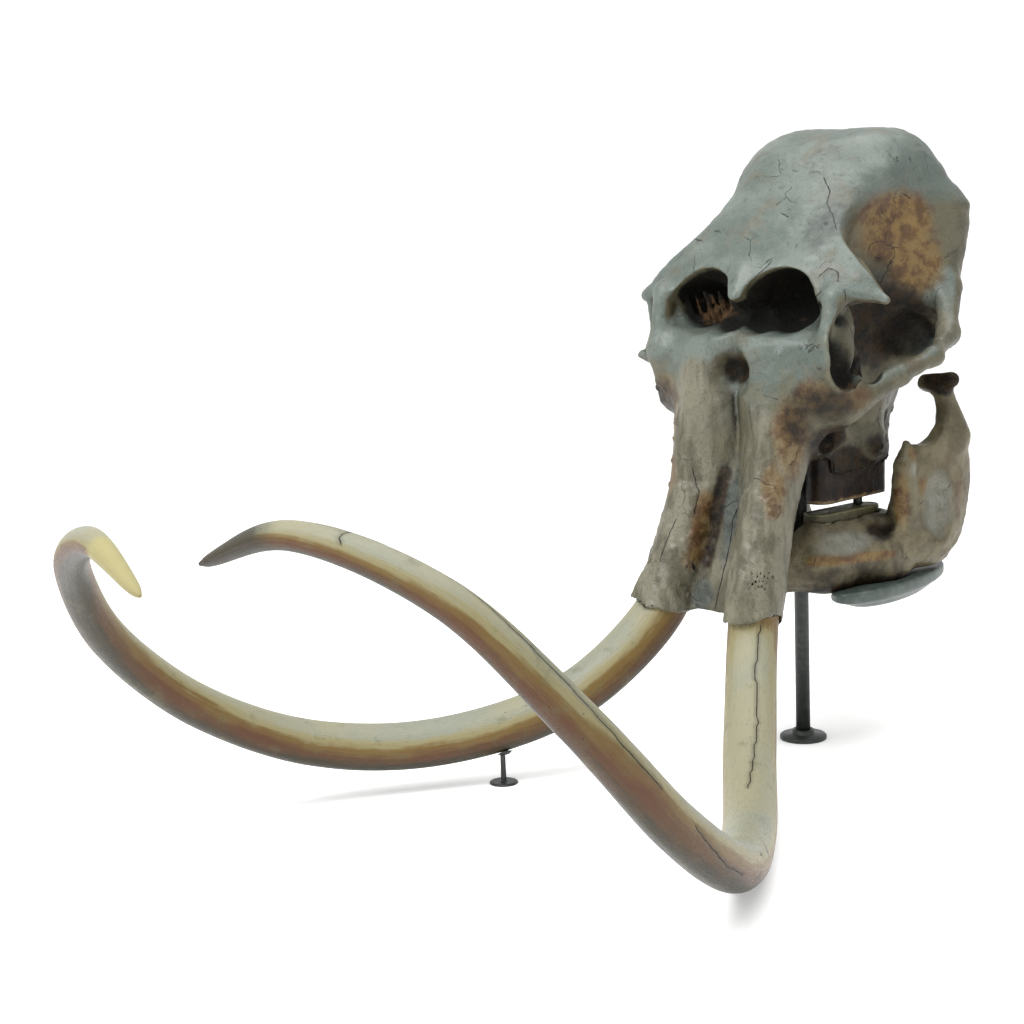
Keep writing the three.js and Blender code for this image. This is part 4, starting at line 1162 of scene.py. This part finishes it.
def molar_piece(name, tooth, side, material, bite_up):
    """A crown wrapped in plate ridges, with a crenulated chewing face."""
    half = MOLAR_WIDTH / 2
    straight, bend = tooth["length"] - 2 * half, math.pi * half
    run = np.linspace(0, 1, MOLAR_COLUMNS, endpoint=False) * 2 * (straight + bend)
    turned = (np.clip(run - straight, 0, bend) + np.clip(run - 2 * straight - bend, 0, bend)) / half
    middle = np.clip(run, 0, straight) - np.clip(run - straight - bend, 0, straight) - straight / 2
    outward = np.stack([np.cos(turned), np.sin(turned)], -1)
    outline = half * outward + np.stack([0 * middle, middle], -1)
    height = tooth["height"] - 1.0
    rows, ridge, bite = [], [], []

    def plate(y):
        return np.abs(np.sin(math.pi * y / PLATE_STEP)) ** 0.7

    def add(flat, z, ridge_value, bite_value):
        rows.append(np.c_[flat, np.zeros(MOLAR_COLUMNS) + z])
        ridge.append(np.zeros(MOLAR_COLUMNS) + ridge_value)
        bite.append(np.zeros(MOLAR_COLUMNS) + bite_value)

    def cap(level, shares):
        """Rings across an end of the crown; the chewing face has the full relief."""
        chewed = (level == 1) == bite_up
        for k in shares:
            flat = outline * k - outward * (CAP_INSET * k)
            rise = PLATE_RELIEF * (plate(flat[:, 1]) - 1) * (1 if chewed else 0.2)
            add(flat, level * height + (rise if level else -rise), 0, chewed)

    cap(0, np.linspace(0.06, 1, CAP_RINGS))
    for level in np.linspace(0, 1, 26):
        towards_bite = level if bite_up else 1 - level
        wave = plate(outline[:, 1] + 3 * math.sin(5 * level))
        inset = CROWN_INSET - 0.2 * wave + CROWN_INSET * smooth(towards_bite, 0.93, 1.0)
        add(outline - outward * inset[:, None], level * height, wave, smooth(towards_bite, 0.84, 1.0))
    cap(1, np.linspace(1, 0.06, CAP_RINGS))
    points = np.vstack(rows)
    faces = band(len(rows), MOLAR_COLUMNS)
    start = (len(rows) - 1) * MOLAR_COLUMNS
    faces += [tuple(range(MOLAR_COLUMNS))[::-1], tuple(range(start, start + MOLAR_COLUMNS))]
    points[:, :2] *= 1 - 0.006 * (1 + layered(points, 30, 91, 2)[:, None])
    a = math.radians(SIDES[side] * tooth["turn"])
    x, y = points[:, 0].copy(), points[:, 1].copy()
    points[:, 0] = math.cos(a) * x - math.sin(a) * y + SIDES[side] * tooth["middle"][0]
    points[:, 1] = math.sin(a) * x + math.cos(a) * y + tooth["middle"][1]
    points[:, 2] += tooth["bottom"] + 0.5
    piece = place(name, points, faces, material, "tooth")
    mark(piece, ridge=np.concatenate(ridge), bite=np.concatenate(bite))
    return piece


# ---------------------------------------------------------------- steel pieces
REST_CELL, REST_BOX = 4.0, (320, 510, 150)
SUPPORT_CELL, SUPPORT_REACH = 2.0, 42
# Radii of foot, rod and saddle, and how far the saddle reaches below and above the tusk's underside.
SUPPORT = {"foot": 37.5, "thickness": 6, "rod": 7, "saddle": 26, "drop": 22, "rise": 34}


def box_distance(p, half):
    q = np.abs(p) - np.array(half)
    return np.linalg.norm(np.maximum(q, 0), axis=1) + np.minimum(q.max(1), 0)


def jaw_rest_field(side):
    """An oval dish cut round the jaw, on a flat arm that ends at the post."""
    sign = SIDES[side]
    mx, my, mz = DISH["middle"]
    tilt = math.radians(DISH["tilt"])
    heading = math.atan2(my, sign * mx)
    reach = ARM["reach"] * math.hypot(mx, my)

    def field(p):
        q = p - np.array((sign * mx, my, mz), float)
        y = math.cos(tilt) * q[:, 1] + math.sin(tilt) * q[:, 2]
        z = math.cos(tilt) * q[:, 2] - math.sin(tilt) * q[:, 1]
        rim = np.hypot(q[:, 0] / DISH["half"][0], y / DISH["half"][1])
        flat = (rim - 1) * DISH["half"][0] * 0.9
        belly = DISH["rim"] + (DISH["depth"] - DISH["rim"]) * smooth(rim, 1, 0.55)
        d = trim(flat, np.maximum(z, -z - belly) * 0.95, 9)
        along = math.cos(heading) * p[:, 0] + math.sin(heading) * p[:, 1]
        across = math.cos(heading) * p[:, 1] - math.sin(heading) * p[:, 0]
        level = p[:, 2] - ARM["bottom"] - ARM["thickness"] / 2
        half = (reach / 2 - 2, ARM["width"] / 2 - 2, ARM["thickness"] / 2 - 2)
        bar = box_distance(np.stack([along - reach / 2, across, level], -1), half) - 1.6  # a rounded edge
        d = blend(d, bar, 6)
        d = np.maximum(d, POST_RADIUS + GAP - np.hypot(p[:, 0], p[:, 1]))
        return np.maximum(d, -(mandible_field(p + (0, 0, JAW_SEAT[0])) - JAW_SEAT[1]))

    return field


def largest_piece(points, faces):
    """The biggest connected part of a skin, without crumbs."""
    parent = np.arange(len(points))
    faces = np.asarray(faces)
    for _ in range(400):
        low = parent[faces].min(1)
        before = parent.copy()
        for i in range(faces.shape[1]):
            np.minimum.at(parent, faces[:, i], low)
        parent = parent[parent]
        if (parent == before).all():
            break
    names, counts = np.unique(parent, return_counts=True)
    keep = parent == names[counts.argmax()]
    renumber = np.cumsum(keep) - 1
    return points[keep], renumber[faces[keep[faces[:, 0]]]]


def support_place(side):
    """Middle of a tusk support on the floor."""
    return SIDES[side] * TUSK_SUPPORT[side][0], TUSK_SUPPORT[side][1]


def tusk_support_field(side):
    """A foot disc, a thin rod and a saddle cut round the tusk."""
    x, y = support_place(side)
    low = TUSK_LOW[side]
    bottom, top = max(low - SUPPORT["drop"], 5), low + SUPPORT["rise"]
    half = SUPPORT["thickness"] / 2

    def field(p):
        r, z = np.hypot(p[:, 0] - x, p[:, 1] - y), p[:, 2]
        bevel = half * np.clip(z / SUPPORT["thickness"], 0, 1)
        foot = trim(r - SUPPORT["foot"] + bevel, np.abs(z - half) - half, 2)
        bar = trim(r - SUPPORT["rod"], np.abs(z - low / 2) - low / 2, 2)
        cup_radius = SUPPORT["saddle"] * np.clip(0.5 + (z - bottom) / SUPPORT["saddle"], 0.5, 1) ** 0.5
        cup = trim(r - cup_radius, np.abs(z - (bottom + top) / 2) - (top - bottom) / 2 + 1, 8)
        d = np.maximum(blend(blend(foot, bar, 3), cup, 4), -z)
        return np.maximum(d, -tusk_distance(p + (0, 0, TUSK_SEAT[0]), side, TUSK_SEAT[1], 30))

    return field


def spacer_shape(side):
    r, h = SPACER_RADIUS, SPACER_HEIGHT
    points, faces = lathe([(0, 0), (r - 1, 0), (r, 1), (r, h - 1), (r - 1, h), (0, h)], 40)
    return points + (SIDES[side] * SPACER_PLACE[0], *SPACER_PLACE[1:]), faces


def jaw_rest_shape(side):
    low = np.array((min(0, SIDES[side] * REST_BOX[0]), -130, 340))
    return largest_piece(*skin(jaw_rest_field(side), low, low + REST_BOX, REST_CELL, 2))


def tusk_support_shape(side):
    x, y = support_place(side)
    low = np.array((x - SUPPORT_REACH, y - SUPPORT_REACH, -6.0))
    high = low + (2 * SUPPORT_REACH, 2 * SUPPORT_REACH, TUSK_LOW[side] + 46)
    return largest_piece(*skin(tusk_support_field(side), low, high, SUPPORT_CELL, 2))


def post_shape():
    r, h = POST_RADIUS, POST_TOP
    return lathe([(0, 0), (r, 0), (r, h - 2), (r - 2, h), (0, h)], 64)


def post_foot_shape():
    """A flange with a short collar, bored for the post."""
    bore, top = POST_RADIUS + GAP, FOOT_THICKNESS + COLLAR_HEIGHT
    r, t, c = FOOT_RADIUS, FOOT_THICKNESS, COLLAR_RADIUS
    return lathe([(bore, 0), (r - 1, 0), (r, 1), (r, t - 3), (r - 3, t), (c + 3, t + 1), (c, t + 3),
                  (c - 2, top - 2), (c - 4, top), (bore, top), (bore, 0)], 96)


# ---------------------------------------------------------------- making everything
bone = bone_material("bone", srgb(92, 76, 52), (srgb(128, 123, 98), srgb(98, 94, 70)), 0.9,
                     (srgb(108, 116, 110), srgb(80, 88, 84)))
jaw_bone = bone_material("jaw_bone", srgb(112, 78, 44), (srgb(152, 142, 110), srgb(112, 102, 74)), 0.12,
                         (srgb(182, 181, 168), srgb(156, 157, 140)))
ivory, steel, dish_paint = ivory_material(), steel_material(), dish_material()
upper_tooth = tooth_material("upper_tooth", srgb(14, 10, 7), srgb(50, 31, 18), srgb(164, 138, 100))
lower_tooth = tooth_material("lower_tooth", srgb(70, 66, 48), srgb(104, 100, 74), srgb(150, 148, 108))

bone_piece("cranium", cranium_field, ((-424, -576, 330), (424, 506, 1662)), bone, 3, CRANIUM_PATCHES,
           CRANIUM_CRACKS, lambda p: cranium_field(p, False))
bone_piece("mandible", mandible_field, ((-336, -336, 366), (336, 476, 1012)), jaw_bone, 11, MANDIBLE_PATCHES)
for side in SIDES:
    tusk_piece(side, ivory)
    molar_piece(f"upper_molar_{side}", UPPER_MOLAR, side, upper_tooth, False)
    molar_piece(f"lower_molar_{side}", LOWER_MOLAR, side, lower_tooth, True)
    place(f"jaw_spacer_{side}", *spacer_shape(side), steel, "steel")
    place(f"jaw_rest_{side}", *jaw_rest_shape(side), dish_paint, "dish")
    place(f"tusk_support_{side}", *tusk_support_shape(side), steel, "steel")
place("post", *post_shape(), steel, "steel")
place("post_foot", *post_foot_shape(), steel, "steel")


# ---------------------------------------------------------------- floor, light and camera
FLOOR_RADIUS, FLOOR_SWEEP, FLOOR_COLUMNS = 8000, 5000, 96
STUDIO_LIGHT = 0.75
STUDIO_MIDDLE = (0, -0.6, 0.8)


def floor_piece():
    """A round studio floor whose rim sweeps up into a wall."""
    rim = [(FLOOR_RADIUS, 0)]
    rim += [(FLOOR_RADIUS + FLOOR_SWEEP * math.sin(a), FLOOR_SWEEP * (1 - math.cos(a)))
            for a in np.linspace(0.1, math.pi / 2, 16)]
    turn = np.linspace(0, 2 * math.pi, FLOOR_COLUMNS, endpoint=False)
    points = [(r * math.cos(a) * MM, r * math.sin(a) * MM, z * MM) for r, z in rim for a in turn]
    faces = band(len(rim), FLOOR_COLUMNS) + [tuple(range(FLOOR_COLUMNS))]
    mesh = bpy.data.meshes.new("floor")
    mesh.from_pydata(points, [], faces)
    mesh.polygons.foreach_set("use_smooth", [True] * (len(faces) - 1) + [False])
    mesh.materials.append(floor_material())
    floor = bpy.data.objects.new("floor", mesh)
    bpy.context.scene.collection.objects.link(floor)


def soft_light(name, at, size, power):
    """A rectangle of light that looks at the middle of the studio."""
    data = bpy.data.lights.new(name, "AREA")
    data.shape, data.size, data.size_y = "RECTANGLE", size[0], size[1]
    data.energy = power
    light = bpy.data.objects.new(name, data)
    light.location = at
    light.rotation_euler = (Vector(STUDIO_MIDDLE) - Vector(at)).to_track_quat("-Z", "Y").to_euler()
    bpy.context.scene.collection.objects.link(light)


def camera():
    azimuth, height, roll = map(math.radians, (CAMERA_AZIMUTH, CAMERA_HEIGHT_ANGLE, CAMERA_ROLL))
    level = math.cos(height)
    back = Vector((math.sin(azimuth) * level, -math.cos(azimuth) * level, math.sin(height)))
    right = Vector((math.cos(azimuth), math.sin(azimuth), 0))
    up = back.cross(right)
    right, up = math.cos(roll) * right + math.sin(roll) * up, math.cos(roll) * up - math.sin(roll) * right
    data = bpy.data.cameras.new("camera")
    data.lens, data.sensor_width, data.clip_end = CAMERA_LENS, 36.0, 60.0
    made = bpy.data.objects.new("camera", data)
    turn = Matrix((right, up, back)).transposed()
    made.matrix_world = Matrix.Translation(Vector(CAMERA_TARGET) + CAMERA_DISTANCE * back) @ turn.to_4x4()
    bpy.context.scene.collection.objects.link(made)
    bpy.context.scene.camera = made


def studio_world():
    world = bpy.data.worlds.new("studio")
    world.use_nodes = True
    background = world.node_tree.nodes["Background"]
    background.inputs["Color"].default_value = (1, 1, 1, 1)
    background.inputs["Strength"].default_value = STUDIO_LIGHT
    bpy.context.scene.world = world
    bpy.context.scene.view_settings.view_transform = "Standard"


floor_piece()
studio_world()
soft_light("key", (-0.6, -4.2, 5.0), (3.5, 2.5), 330)
soft_light("top", (0.4, 0.2, 5.2), (5.0, 4.0), 210)
camera()
